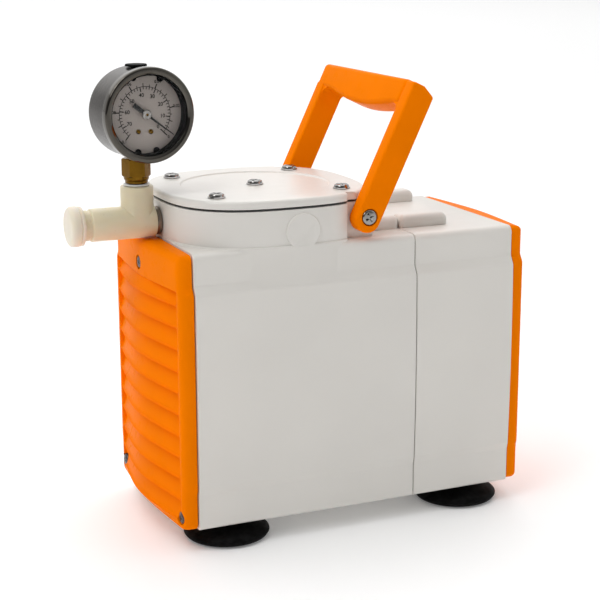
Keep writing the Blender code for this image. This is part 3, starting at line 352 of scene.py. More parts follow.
class Finish:
    """A Principled material with helpers for its noise, bump and variation."""

    def __init__(self, name, colour, roughness, metallic=0.0):
        self.material = bpy.data.materials.new(name)
        self.material.use_nodes = True
        self.tree = self.material.node_tree
        self.shader = self.tree.nodes["Principled BSDF"]
        self.set(Base_Color=(*colour, 1.0), Roughness=roughness, Metallic=metallic)
        self.colour, self.roughness = colour, roughness
        self.place = add_node(self.tree, "TexCoord").outputs["Object"]

    def set(self, **sockets):
        for name, value in sockets.items():
            self.shader.inputs[name.replace("_", " ")].default_value = value
        return self

    def link(self, source, target):
        self.tree.links.new(source, target)

    def noise(self, size_mm, detail=3.0, scale=None):
        """Noise whose features are about size_mm across, stretched along the axes by scale."""
        place = self.place
        if scale:
            place = add_node(self.tree, "Mapping", Scale=scale, Vector=place).outputs["Vector"]
        node = add_node(self.tree, "TexNoise", Scale=1.0 / (size_mm * MM), Detail=detail, Vector=place)
        return node.outputs["Fac"]

    def cells(self, size_mm):
        node = add_node(self.tree, "TexVoronoi", Scale=1.0 / (size_mm * MM), Vector=self.place)
        return node.outputs["Distance"]

    def bands(self, pitch_mm, distortion=0.0):
        """Stripes across X."""
        size = 0.314 / (pitch_mm * MM)
        node = add_node(self.tree, "TexWave", Scale=size, Distortion=distortion, Vector=self.place)
        node.bands_direction = "X"
        return node.outputs["Fac"]

    def between(self, factor, low, high):
        limits = {"From_Min": 0.3, "From_Max": 0.7, "To_Min": low, "To_Max": high}
        return add_node(self.tree, "MapRange", Value=factor, **limits).outputs["Result"]

    def tinted(self, factor, other, share=1.0):
        """Mix the colour towards another where the factor is high."""
        node = self.tree.nodes.new("ShaderNodeMix")
        node.data_type = "RGBA"
        node.inputs["A"].default_value = (*self.colour, 1.0)
        node.inputs["B"].default_value = (*other, 1.0)
        base = self.shader.inputs["Base Color"]
        if base.is_linked:
            self.link(base.links[0].from_socket, node.inputs["A"])
        self.link(self.between(factor, 0.0, share), node.inputs["Factor"])
        self.link(node.outputs["Result"], base)
        return self

    def shaded(self, factor, darkness, share=1.0):
        """Mix the colour towards a darker shade of itself where the factor is high."""
        return self.tinted(factor, tuple(darkness * c for c in self.colour), share)

    def uneven(self, factor, spread):
        """Roughness that drifts with the factor, by spread either way."""
        value = self.between(factor, self.roughness - spread, self.roughness + spread)
        self.link(value, self.shader.inputs["Roughness"])
        return self

    def bumped(self, factor, depth_mm):
        node = add_node(self.tree, "Bump", Strength=1.0, Distance=depth_mm * MM, Height=factor)
        normal = self.shader.inputs["Normal"]
        if normal.is_linked:
            self.link(normal.links[0].from_socket, node.inputs["Normal"])
        self.link(node.outputs["Normal"], normal)
        return self


def painted(name, colour, roughness):
    """Semi-gloss paint: faint orange peel, a little unevenness and a few settled specks."""
    made = Finish(name, colour, roughness)
    made.shaded(made.noise(60.0, 2.0), 0.965)
    made.uneven(made.noise(9.0, 3.0), 0.04)
    made.bumped(made.noise(2.4, 1.0), 0.005)
    made.bumped(made.noise(0.35, 2.0), 0.001)
    return made.material


def moulded(name, colour, roughness, dark_share=0.93, grain_mm=0.35, depth_mm=0.004):
    """Injection-moulded plastic: fine spark texture, slow flow shading and uneven sheen."""
    made = Finish(name, colour, roughness)
    made.shaded(made.noise(35.0, 2.0), dark_share)
    made.shaded(made.noise(0.8, 2.0), 0.95, 0.4)
    made.uneven(made.noise(6.0, 4.0), 0.05)
    made.bumped(made.noise(grain_mm, 3.0), depth_mm)
    return made


def rubber(name, colour, roughness, sheen=0.5):
    made = Finish(name, colour, roughness).set(Specular_IOR_Level=sheen)
    made.tinted(made.noise(4.0, 4.0), tuple(1.8 * c + 0.01 for c in colour), 0.6)
    made.uneven(made.noise(2.5, 4.0), 0.08)
    made.bumped(made.noise(0.5, 4.0), 0.012)
    return made.material


def machined(name, colour, roughness, along="X", dark=0.78, depth_mm=0.003):
    """Turned or drawn metal, with fine tool lines round its axis and slow colour drift."""
    made = Finish(name, colour, roughness, 1.0)
    lines = {"X": (1.0, 0.04, 0.04), "Y": (0.04, 1.0, 0.04), "Z": (0.04, 0.04, 1.0)}[along]
    marks = made.noise(0.12, 2.0, lines)
    made.shaded(made.noise(5.0, 3.0), dark)
    made.uneven(marks, 0.07)
    made.bumped(marks, depth_mm)
    return made.material


def cast_metal(name, colour, roughness):
    made = Finish(name, colour, roughness, 1.0)
    made.shaded(made.noise(3.0, 4.0), 0.8)
    made.uneven(made.noise(1.5, 3.0), 0.1)
    made.bumped(made.cells(0.9), 0.03)
    return made.material


def sintered(name, colour):
    made = Finish(name, colour, 0.5, 1.0)
    made.shaded(made.cells(0.45), 0.45)
    made.bumped(made.cells(0.45), -0.12)
    return made.material


def stacked_steel(name, colour):
    made = Finish(name, colour, 0.5, 1.0)
    sheets = made.bands(0.5)
    made.shaded(sheets, 0.45)
    made.bumped(sheets, 0.05)
    return made.material


def wound_copper(name, colour):
    made = Finish(name, colour, 0.35, 1.0)
    wires = made.bands(0.7, 1.5)
    made.shaded(wires, 0.4)
    made.bumped(wires, 0.12)
    return made.material


def milky(name, colour, roughness, depth_mm):
    """Natural nylon: light wanders a little way in; faint flow lines and a satin skin."""
    made = Finish(name, colour, roughness)
    depth = {"Subsurface_Scale": depth_mm * MM, "Subsurface_Radius": (1.0, 0.75, 0.45)}
    made.set(Subsurface_Weight=0.55, **depth)
    made.shaded(made.noise(14.0, 3.0), 0.94)
    made.uneven(made.noise(3.0, 3.0), 0.06)
    made.bumped(made.noise(0.9, 3.0), 0.008)
    return made.material


def glazed(name):
    """A clear window that lamps shine through, with a faint smear of unevenness."""
    made = Finish(name, (0.97, 0.98, 0.98), 0.02)
    made.set(Transmission_Weight=1.0, IOR=1.15)
    made.bumped(made.noise(20.0, 1.0), 0.004)
    tree = made.tree
    mix = add_node(tree, "MixShader", Fac=add_node(tree, "LightPath").outputs["Is Shadow Ray"])
    made.link(made.shader.outputs["BSDF"], mix.inputs[1])
    made.link(add_node(tree, "BsdfTransparent").outputs["BSDF"], mix.inputs[2])
    made.link(mix.outputs["Shader"], tree.nodes["Material Output"].inputs["Surface"])
    return made.material


WHITE = painted("white_paint_finish", (0.77, 0.745, 0.70), 0.32)
ORANGE = moulded("orange_plastic_finish", (1.0, 0.22, 0.0), 0.30).set(Specular_IOR_Level=0.005).material
BLACK_RUBBER = rubber("black_rubber_finish", (0.001, 0.001, 0.001), 0.55, 0.05)
# painted shade: this near-black finish goes on the liner ring inside the gauge and stands in for the shade
# on the gauge's inner wall
SHADE_RING_BLACK = rubber("painted_shade_ring_finish", (0.002, 0.002, 0.002), 0.85, 0.1)
GASKET = rubber("gasket_finish", (0.022, 0.022, 0.022), 0.6)
NYLON = milky("nylon_finish", (0.76, 0.68, 0.49), 0.33, 4.0)
CAP_NYLON = milky("cap_nylon_finish", (0.81, 0.74, 0.61), 0.34, 3.0)
TAPE = moulded("sealing_washer_finish", (0.86, 0.86, 0.84), 0.6).material
BRASS = machined("brass_finish", (0.17, 0.085, 0.009), 0.15, "Z")
TUBE_BRASS = machined("tube_brass_finish", (0.62, 0.43, 0.16), 0.35, "Y")
SINTER = sintered("sintered_bronze_finish", (0.55, 0.36, 0.16))
CAN_STEEL = machined("gauge_can_finish", (0.065, 0.058, 0.052), 0.28, "Y")
BEZEL_STEEL = machined("polished_bezel_finish", (0.10, 0.092, 0.08), 0.10, "Y", 0.9, 0.0005)
HUB_STEEL = machined("pointer_hub_finish", (0.42, 0.40, 0.38), 0.3, "Y", 0.9, 0.001)
SHAFT_STEEL = machined("ground_steel_finish", (0.58, 0.58, 0.58), 0.22, "X")
NIPPLE_STEEL = machined("nipple_finish", (0.28, 0.24, 0.20), 0.35, "X")
CHROME = machined("plated_screw_finish", (0.34, 0.33, 0.32), 0.09, "Z", 0.85, 0.001)
DARK_SCREW = machined("dark_screw_finish", (0.10, 0.10, 0.11), 0.3, "X")
CAST = cast_metal("cast_alloy_finish", (0.60, 0.61, 0.62), 0.45)
LAMINATIONS = stacked_steel("lamination_finish", (0.32, 0.33, 0.35))
COPPER = wound_copper("copper_finish", (0.60, 0.25, 0.10))
BLACK_PLASTIC = moulded("black_plastic_finish", (0.016, 0.016, 0.017), 0.42, 0.7).material
NEEDLE_BLACK = moulded("needle_finish", (0.008, 0.008, 0.008), 0.45).material
DIAL = moulded("dial_finish", (0.44, 0.38, 0.345), 0.5, 0.97, 0.5, 0.001).material
DIAL_INK = moulded("dial_ink_finish", (0.006, 0.006, 0.006), 0.6).set(Specular_IOR_Level=0.2).material
CAN_ALLOY = machined("capacitor_finish", (0.75, 0.75, 0.76), 0.3, "X")
GLASS = glazed("window_finish")


# ---------------------------------------------------------------------------
# Casing
# ---------------------------------------------------------------------------

def casing_outline(trim=0.0):
    """The casing's end view: low belt, crowned sides, notch and rounded top, drawn inwards by trim."""
    mid_z = 0.5 * (CREASE_HIGH_Z + NOTCH_LOW_Z)
    half = [(BELT_LOW_Y - trim, BASE_Z + trim, 2.5), (BELT_LOW_Y - trim, CREASE_LOW_Z, 2.5)]
    half.append((SIDE_EDGE_Y - trim, CREASE_HIGH_Z, 2.0))
    crown = 10
    for i in range(1, crown):
        t = 2.0 * i / crown - 1.0
        z = mid_z + t * (mid_z - CREASE_HIGH_Z)
        half.append((SIDE_EDGE_Y - trim + (SIDE_MID_Y - SIDE_EDGE_Y) * (1.0 - t * t), z, 0.0))
    half += [(SIDE_EDGE_Y - trim, NOTCH_LOW_Z, 3.0), (BELT_TOP_Y - trim, NOTCH_HIGH_Z, 3.0)]
    half.append((BELT_TOP_Y - trim, TOP_Z - trim, EDGE_ROUND))
    return filleted(mirrored(half), 6)


def inner_outline():
    half = [(INNER_Y, INNER_LOW_Z, 3.0), (INNER_Y, NOTCH_LOW_Z, 2.0)]
    half += [(INNER_Y - 3.0, NOTCH_HIGH_Z, 2.0), (INNER_Y - 3.0, INNER_HIGH_Z, 2.0)]
    return filleted(mirrored(half), 4)


def rail(y_span, x_low, x_high, rounded_end):
    """A low rail along the casing's top, its free end rounded in side view."""
    outline = [(x_low, TOP_Z - 2.0, 0.0), (x_high, TOP_Z - 2.0, 0.0)]
    outline += [(x_high, RAIL_TOP_Z, RAIL_NOSE if rounded_end else 0.0), (x_low, RAIL_TOP_Z, 0.0)]
    return bevelled(object_from("rail", extruded(filleted(outline, 8), *y_span, "Y")), 3.4, 7)


def lug(side):
    """The upright ear beside the rail that a handle arm turns on."""
    outline = [(PIVOT_X - LUG_HALF, TOP_Z - LUG_FOOT), (PIVOT_X + LUG_HALF, TOP_Z - LUG_FOOT)]
    outline += arc(PIVOT_X, PIVOT_Z, LUG_HALF, 0, 180, 24)
    y_span = sided(side, -RAIL_FRONT_Y[0] - 1.0, ARM_INNER_Y - GAP)
    return bevelled(object_from("lug", extruded(outline, *y_span, "Y")), 0.6, 2)


def squared(bm):
    """Draw the rim of a round head piece out towards its four corners."""
    for v in bm.verts:
        dx, dy = v.co.x - HEAD_X, v.co.y
        if math.hypot(dx, dy) > LOBE_START:
            grow = 1.0 + HEAD_LOBE * (1.0 - math.cos(4.0 * math.atan2(dy, dx)))
            v.co.x, v.co.y = HEAD_X + dx * grow, dy * grow
    return bm


def with_arm_rooms(piece):
    """Cut the room that the head leaves the two arms of the handle."""
    x_span, z_span = (ARM_ROOM_X, 45.0), (TOP_Z - 2.0, COVER_TOP_Z + BEYOND)
    rooms = [block(x_span, sided(side, ARM_INNER_Y - GAP, 75.0), z_span) for side in (-1, 1)]
    return carved(piece, rooms)


def head_boss():
    """The softly square head and the slightly wider skirt that it stands on, whose edge shows."""
    foot, crest = NOTCH_LOW_Z + 1.0, 0.5
    profile = [(0.0, foot), (HEAD_R, foot)] + arc(HEAD_R - crest, HEAD_TOP_Z - crest, crest, 0, 90, 4)
    boss = object_from("boss", squared(turned(profile + [(0.0, HEAD_TOP_Z)], "Z", 160, HEAD_CENTRE)))
    profile = [(HEAD_R - 1.5, foot), (HEAD_R + 1.0, foot)] + arc(HEAD_R, TOP_Z - 0.2, 1.0, 0, 90, 5)
    profile += [(HEAD_R - 1.5, TOP_Z + 0.8)]
    skirt = object_from("skirt", squared(turned(profile, "Z", 160, HEAD_CENTRE)))
    inside = object_from("inside", block((-CASE_END, 60.0), (-62.0, 62.0), (140.0, 190.0)))
    combined(skirt, [inside], "INTERSECT")
    return with_arm_rooms(boss), with_arm_rooms(settled(skirt, inside))


def screw_square():
    return [(HEAD_X + i * SCREW_OFFSET, j * SCREW_OFFSET) for i in (-1, 1) for j in (-1, 1)]


def make_pump_housing():
    shell = extruded(casing_outline(), -CASE_END, SPLIT_LEFT + SPLIT_DRAW)
    housing = bevelled(object_from("pump_casting", shell, WHITE), CAST_ROUND, 2)
    ends = (RAIL_START, SPLIT_LEFT + SPLIT_DRAW, False)
    added = [*head_boss(), rail(RAIL_FRONT_Y, *ends), rail(RAIL_BACK_Y, *ends), lug(-1), lug(1)]
    low, high, edge = HEAD_R - 4.0, HEAD_R + 0.8, 0.3
    disc = [(0.0, -low), (PORT_DISC_R, -low), (PORT_DISC_R, edge - high)]
    disc += [(PORT_DISC_R - edge, -high), (0.0, -high)]
    added.append(object_from("blank", turned(disc, "Y", 64, (EXHAUST_X, 0.0, PORT_DISC_Z))))
    combined(housing, added, "UNION")
    pin = (PIVOT_X, 0.0, PIVOT_Z)
    cuts = [
        extruded(inner_outline(), -CASE_END - BEYOND, SPLIT_LEFT + BEYOND),
        cylinder(BLOCK_BORE_R, LEDGE_Z, HEAD_TOP_Z + BEYOND, "Z", 64, HEAD_CENTRE),
        cylinder(ROD_BORE_R, INNER_HIGH_Z - BEYOND, LEDGE_Z + 1.0, "Z", 48, HEAD_CENTRE),
        cylinder(PORT_R, -CASE_END - BEYOND, HEAD_X - BLOCK_BORE_R + 2.0, "X", 32, (0.0, 0.0, PORT_Z)),
        cylinder(PORT_R, BLOCK_BORE_R - 2.0, HEAD_R + BEYOND, "Y", 32, (EXHAUST_X, 0.0, PORT_Z)),
        cylinder(SCREW_BORE_R, *sided(-1, 42.0, 55.0), "Y", 24, pin),
        cylinder(SCREW_BORE_R, *sided(1, 42.0, 55.0), "Y", 24, pin),
    ]
    for x, y in screw_square():
        cuts.append(cylinder(SCREW_BORE_R, HEAD_TOP_Z - 12.0, HEAD_TOP_Z + BEYOND, "Z", 16, (x, y, 0.0)))
    carved(housing, cuts, *added)
    put(housing, "base", "white_paint", "pump_housing")


def make_motor_housing():
    low = SPLIT_RIGHT - SPLIT_DRAW
    housing = object_from("motor_casing", extruded(casing_outline(), low, CASE_END), WHITE)
    bevelled(housing, CAST_ROUND, 2)
    rails = [rail(RAIL_FRONT_Y, low, RAIL_FRONT_END, True), rail(RAIL_BACK_Y, low, RAIL_BACK_END, True)]
    combined(housing, rails, "UNION")
    carved(housing, [extruded(inner_outline(), SPLIT_RIGHT - BEYOND, CASE_END + BEYOND)], *rails)
    put(housing, "base", "white_paint", "motor_housing")
    low, high = SPLIT_LEFT + SPLIT_DRAW, SPLIT_RIGHT - SPLIT_DRAW
    seal = object_from("casing_joint_seal", extruded(casing_outline(1.2), low, high), GASKET)
    carved(seal, [extruded(inner_outline(), low - BEYOND, high + BEYOND)])
    put(seal, "base", "black_rubber", "split_gasket")


# ---------------------------------------------------------------------------
# End panels
# ---------------------------------------------------------------------------

def bow(y):
    """How far a panel bulges at this distance from its middle: two flanks and a soft crest."""
    edge = math.hypot(FIELD_Y, PANEL_CREST)
    return PANEL_BOW * max(0.0, edge - math.hypot(y, PANEL_CREST)) / (edge - PANEL_CREST)


def shelf_height(first_lip):
    return SHELF_Z if first_lip == 0 else LIP_TOP_Z - (first_lip - 1) * LIP_PITCH


def bow_share(z, first_lip):
    """The plain band above the slats and the sill below them bulge less than the slats do."""
    under = shelf_height(first_lip) - LIP_THICK
    above = 1.0 - (1.0 - SHELF_SHARE) * smooth_step((z - under) / LIP_THICK)
    below = SILL_SHARE + (1.0 - SILL_SHARE) * min(1.0, (z - PANEL_LOW_Z) / SILL)
    return min(above, below)


def smooth_step(t):
    t = min(1.0, max(0.0, t))
    return t * t * (3.0 - 2.0 * t)


def panel_half_width(z):
    """Half the panel's width at a height, with its corners rounded."""
    low = BELT_LOW_Y + (SIDE_EDGE_Y - BELT_LOW_Y) * smooth_step((z - CREASE_LOW_Z) / 4.0)
    half = low - (SIDE_EDGE_Y - BELT_TOP_Y) * smooth_step((z - NOTCH_LOW_Z) / 5.0) - PANEL_TRIM
    for edge, side in ((PANEL_HIGH_Z, 1.0), (PANEL_LOW_Z, -1.0)):
        into = PANEL_CORNER - side * (edge - z)
        if into > 0.0:
            half -= PANEL_CORNER - math.sqrt(max(0.0, PANEL_CORNER ** 2 - into ** 2))
    return half


def edge_drop(distance, radius):
    """How far a rounded rim falls back at this distance in from the panel's edge."""
    if distance >= radius:
        return 0.0
    return radius - math.sqrt(max(0.0, radius ** 2 - (radius - distance) ** 2))


def slat_recess(z, first_lip):
    """Depth of the sloping slats at a height: nothing at a lip, deepest just under the next one."""
    top, sill = shelf_height(first_lip), PANEL_LOW_Z + SILL
    if z >= top or z <= sill:
        return 0.0
    lips = [LIP_TOP_Z - k * LIP_PITCH for k in range(LIP_COUNT - 1, first_lip - 1, -1)]
    for below, above in zip([sill] + lips, lips + [top]):
        if z <= above:
            under = above - LIP_THICK
            if z > under:
                return SLAT_DEPTH * smooth_step((above - z) / LIP_THICK)
            crest = LIP_CREST * min(1.0, (z - below) / LIP_CREST)
            return crest + (SLAT_DEPTH - LIP_CREST) * max(0.0, z - below) / (under - below)
    return 0.0


def panel_heights(first_lip):
    """Rows up the panel: close together at its rounded edges and round every lip."""
    rows = [PANEL_HIGH_Z - s for s in (0.0, 0.15, 0.5, 1.1, 2.0, 3.2, PANEL_ROUND)]
    rows += [PANEL_LOW_Z + s for s in (0.0, 0.13, 0.4, 0.8, FOOT_ROUND, 2.6, 3.9)]
    tops = [LIP_TOP_Z - k * LIP_PITCH for k in range(first_lip, LIP_COUNT)]
    steps = (-1.25, -1.0, -0.75, -0.5, -0.25, 0.0, 0.2, 0.4, 0.65, 0.9, 3.0, 6.0)
    for lip in tops + [shelf_height(first_lip), PANEL_LOW_Z + SILL]:
        rows += [lip + s for s in steps]
    rows += [CREASE_LOW_Z, CREASE_LOW_Z + 1.3, CREASE_LOW_Z + 2.7, CREASE_HIGH_Z]
    rows += [NOTCH_LOW_Z, NOTCH_LOW_Z + 1.7, NOTCH_LOW_Z + 3.3, NOTCH_HIGH_Z, 158.0, 163.0]
    rows = sorted(r for r in rows if PANEL_LOW_Z <= r <= PANEL_HIGH_Z)
    kept = rows[:1]
    for r in rows[1:]:
        if r - kept[-1] > 0.12:
            kept.append(r)
    kept[-1] = PANEL_HIGH_Z
    return kept


def panel_skin(side, first_lip):
    """The panel's closed shell: rounded rim, flat frame and the bowed field of slats."""
    back_x = CASE_END + PANEL_GAP
    rim = (0.0, 0.03, 0.09, 0.19, 0.35, 0.6, 0.85)
    edge = [FIELD_Y, FIELD_Y - 0.25, FIELD_Y - FIELD_EDGE]
    field = [-FIELD_Y + FIELD_Y * i / 20 for i in range(2, 39)]
    field = [-e for e in edge] + field + edge[::-1]
    bm = bmesh.new()
    grid = []
    for z in panel_heights(first_lip):
        half = panel_half_width(z)
        strip = half - FIELD_Y
        ys = [-half + r * strip for r in rim] + field + [half - r * strip for r in reversed(rim)]
        line = []
        for y in ys:
            reach = PANEL_THICK + bow(y) * bow_share(z, first_lip)
            rim_drop = edge_drop(min(half - abs(y), PANEL_HIGH_Z - z), PANEL_ROUND)
            reach -= max(rim_drop, edge_drop(z - PANEL_LOW_Z, FOOT_ROUND))
            reach -= slat_recess(z, first_lip) * smooth_step((FIELD_Y - abs(y)) / FIELD_EDGE)
            line.append(bm.verts.new((side * (back_x + max(PANEL_THINNEST, reach)), y, z)))
        grid.append(line)
    back = [[bm.verts.new((side * back_x, v.co.y, v.co.z)) for v in line] for line in grid]
    for lower, upper in zip(grid, grid[1:]):
        for a, b, c, d in zip(lower, lower[1:], upper[1:], upper):
            bm.faces.new((a, b, c, d))
    loops = []
    for lines in (grid, back):
        loop = lines[0] + [line[-1] for line in lines[1:-1]] + lines[-1][::-1]
        loops.append(loop + [line[0] for line in reversed(lines[1:-1])])
    front_loop, back_loop = loops
    for i in range(len(front_loop)):
        bm.faces.new((front_loop[i - 1], front_loop[i], back_loop[i], back_loop[i - 1]))
    bm.faces.new(back_loop)
    bmesh.ops.delete(bm, geom=[v for v in bm.verts if not v.link_faces], context="VERTS")
    bmesh.ops.triangulate(bm, faces=[f for f in bm.faces if len(f.verts) > 4])
    return bm


def screw_floor(side, y, z):
    """X distance of the counterbore's floor for a panel screw."""
    if side > 0 and z > CONTROL_Z:
        return CONTROL_PLATE_X - 2.0
    share = SHELF_SHARE if z > SHELF_Z else 1.0
    return CASE_END + PANEL_GAP + PANEL_THICK + bow(y) * share - 2.8


def make_panel_screw(name, node, side, y, z):
    """A cross-head screw lying in its counterbore."""
    face, head = screw_floor(side, y, z) + GAP, 3.8
    profile = [(0.0, CASE_END), (1.9, CASE_END), (1.9, face), (head, face), (head, face + 0.7)]
    profile += arc(head - 1.6, face + 0.7, 1.6, 0, 80, 6)[1:] + [(0.0, face + 2.3)]
    profile = [(r, side * h) for r, h in profile]
    screw = object_from(name, turned(profile, "X", 40, (0.0, y, z)), DARK_SCREW)
    cross_cut(screw, "X", (side * (face + 2.4), y, z), -side, 2.3, 0.65, 1.3)
    put(screw, "base", "zinc_screw", node)


def cross_cut(screw, axis, top, inwards, reach, width, depth, turn=0.3):
    """Cut a tapered cross recess into a screw's head, from the top point inwards along the axis."""
    cuts = []
    place = {"X": lambda u, v: (0, u, v), "Y": lambda u, v: (u, 0, v), "Z": lambda u, v: (u, v, 0)}[axis]
    for angle in (turn, turn + math.pi / 2):
        ends = []
        for level, scale in ((-0.3, 1.1), (depth, 0.45)):
            loop = []
            for i, j in ((-1, -1), (1, -1), (1, 1), (-1, 1)):
                a, b = i * reach * scale, j * width / 2
                u = a * math.cos(angle) - b * math.sin(angle)
                v = a * math.sin(angle) + b * math.cos(angle)
                point = Vector(top) + Vector(place(u, v))
                point["XYZ".index(axis)] += inwards * level
                loop.append(point)
            ends.append(loop)
        cuts.append(add_prism(bmesh.new(), *ends))
    carved(screw, cuts)


def make_end_panel(name, node, side, first_lip):
    panel = object_from(name, panel_skin(side, first_lip), ORANGE)
    cuts = []
    if side > 0:
        cuts.append(rounded_block((CONTROL_PLATE_X, 130.0), (-44.0, 44.0), (133.5, 165.0), "X", 3.0))
        for y, (wide, tall) in ((SOCKET_Y, SOCKET_SIZE), (SWITCH_Y, SWITCH_SIZE)):
            half, rise = wide / 2 + GAP, tall / 2 + GAP
            cuts.append(block((90.0, 130.0), (y - half, y + half), (CONTROL_Z - rise, CONTROL_Z + rise)))
    cuts.append(block(sided(side, CASE_END - BEYOND, CASE_END + 4.2), (-52.0, 52.0), (26.0, 150.0)))
    through = sided(side, CASE_END, CASE_END + 20.0)
    for k in range(first_lip + 1, LIP_COUNT - 1, 2):
        lip = LIP_TOP_Z - k * LIP_PITCH
        cuts.append(block(through, (-24.0, 24.0), (lip - 2.2, lip - 1.3)))
    for y, z in PANEL_SCREWS:
        face = screw_floor(side, y, z)
        for radius, x_span, sides in ((2.3, (through[0] - 2.0, through[1] + 2.0), 24),
                                      (4.2, sided(side, face, face + 10.0), 40)):
            cuts.append(cylinder(radius, *x_span, "X", sides, (0.0, y, z), 0.1))
    carved(panel, cuts)
    put(panel, "base", "orange_plastic", node, sharp=34.0)


# ---------------------------------------------------------------------------
# Feet
# ---------------------------------------------------------------------------

def make_foot(node):
    (x_low, x_high), (y_low, y_high) = span(node, "x"), span(node, "y")
    top = span(node, "z")[1]
    profile = [(0.0, 2.0, 0.0), (15.5, 2.0, 0.6), (17.5, 0.0, 0.5), (21.0, 0.0, 0.8), (24.0, 1.2, 1.5)]
    profile += [(FOOT_R, 3.4, 1.2), (23.0, 5.8, 4.0), (11.0, 9.6, 1.5), (10.0, top, 0.0), (0.0, top, 0.0)]
    centre = (0.5 * (x_low + x_high), 0.5 * (y_low + y_high), 0.0)
    foot = object_from(node + "_rubber", turned(filleted(profile, 5), "Z", 96, centre), BLACK_RUBBER)
    put(foot, "base", "black_rubber", node)


# ---------------------------------------------------------------------------
# Pump head
# ---------------------------------------------------------------------------

def make_head_cover():
    low, high = HEAD_TOP_Z + GAP, COVER_LOW_Z - GAP
    seal = [(HEAD_R - 3.0, low, 0.0), (HEAD_R - 0.5, low, 0.3), (HEAD_R - 0.5, high, 0.3)]
    seal = squared(turned(filleted(seal + [(HEAD_R - 3.0, high, 0.0)], 3), "Z", 160, HEAD_CENTRE))
    gasket = with_arm_rooms(object_from("cover_seal", seal, GASKET))
    put(gasket, "base", "black_rubber", "head_gasket")
    floor = COVER_TOP_Z - RECESS
    profile = [(0.0, COVER_LOW_Z, 0.0), (HEAD_R, COVER_LOW_Z, 0.35), (HEAD_R, COVER_TOP_Z, 1.9)]
    profile += [(RECESS_R + 0.9, COVER_TOP_Z, 0.6), (RECESS_R, floor, 0.6), (0.0, floor, 0.0)]
    lid = squared(turned(filleted(profile, 7), "Z", 192, HEAD_CENTRE))
    cover = with_arm_rooms(object_from("head_lid", lid, WHITE))
    cuts = []
    for i, (x, y) in enumerate(screw_square() + [(HEAD_X, 0.0)]):
        low, high = HEAD_TOP_Z - BEYOND, COVER_TOP_Z + BEYOND
        cuts.append(cylinder(SCREW_BORE_R, low, high, "Z", 24, (x, y, 0.0)))
        seat = COVER_TOP_Z + 0.1 - (RECESS if i == 4 else 0.0)
        length = 8.0 if i < 4 else 9.0
        make_cover_screw("cover_screw_%d" % (i + 1), (x, y, seat), length, 0.3 + 0.5 * i)
    carved(cover, cuts)
    put(cover, "base", "white_paint", "head_cover")


def make_cover_screw(node, seat, length, turn):
    """Plated pan-head screw: a thin flange under a domed head with a cross recess."""
    head, rise = 5.0, 2.2
    profile = [(0.0, -length), (1.9, -length), (1.9, 0.1), (head, 0.1), (head, 0.45)]
    profile += [(head - 0.5, 0.75), (head - 0.62, 1.2)]
    profile += arc(head - 1.9, rise - 1.0, 1.28, 10, 75, 6) + [(0.0, rise + 0.2)]
    screw = object_from(node + "_head", turned(profile, "Z", 48, seat), CHROME)
    cross_cut(screw, "Z", (seat[0], seat[1], seat[2] + rise + 0.2), -1.0, 3.2, 1.1, 1.5, turn)
    put(screw, "base", "zinc_screw", node)


def make_silencer():
    """Sintered bronze outlet plug in the back of the head."""
    seat = HEAD_R + GAP
    low, high = span("exhaust_silencer", "y")
    profile = [(0.0, low, 0.0), (5.6, low, 0.3), (5.6, seat, 0.0), (8.5, seat, 0.2), (8.5, high, 0.9)]
    profile += [(0.0, high, 0.0)]
    plug = turned(filleted(profile, 5), "Y", 64, (EXHAUST_X, 0.0, PORT_Z))
    put(object_from("outlet_plug", plug, SINTER), "base", "brass", "exhaust_silencer")


# ---------------------------------------------------------------------------
# Carrying handle
# ---------------------------------------------------------------------------

def leant(bm):
    """Lean a shape drawn upright over the pivot and carry it to the pivot."""
    turn = Matrix.Rotation(HANDLE_LEAN, 3, "Y")
    bmesh.ops.rotate(bm, verts=bm.verts, matrix=turn, cent=(0.0, 0.0, 0.0))
    bmesh.ops.translate(bm, verts=bm.verts, vec=(PIVOT_X, 0.0, PIVOT_Z))
    return bm


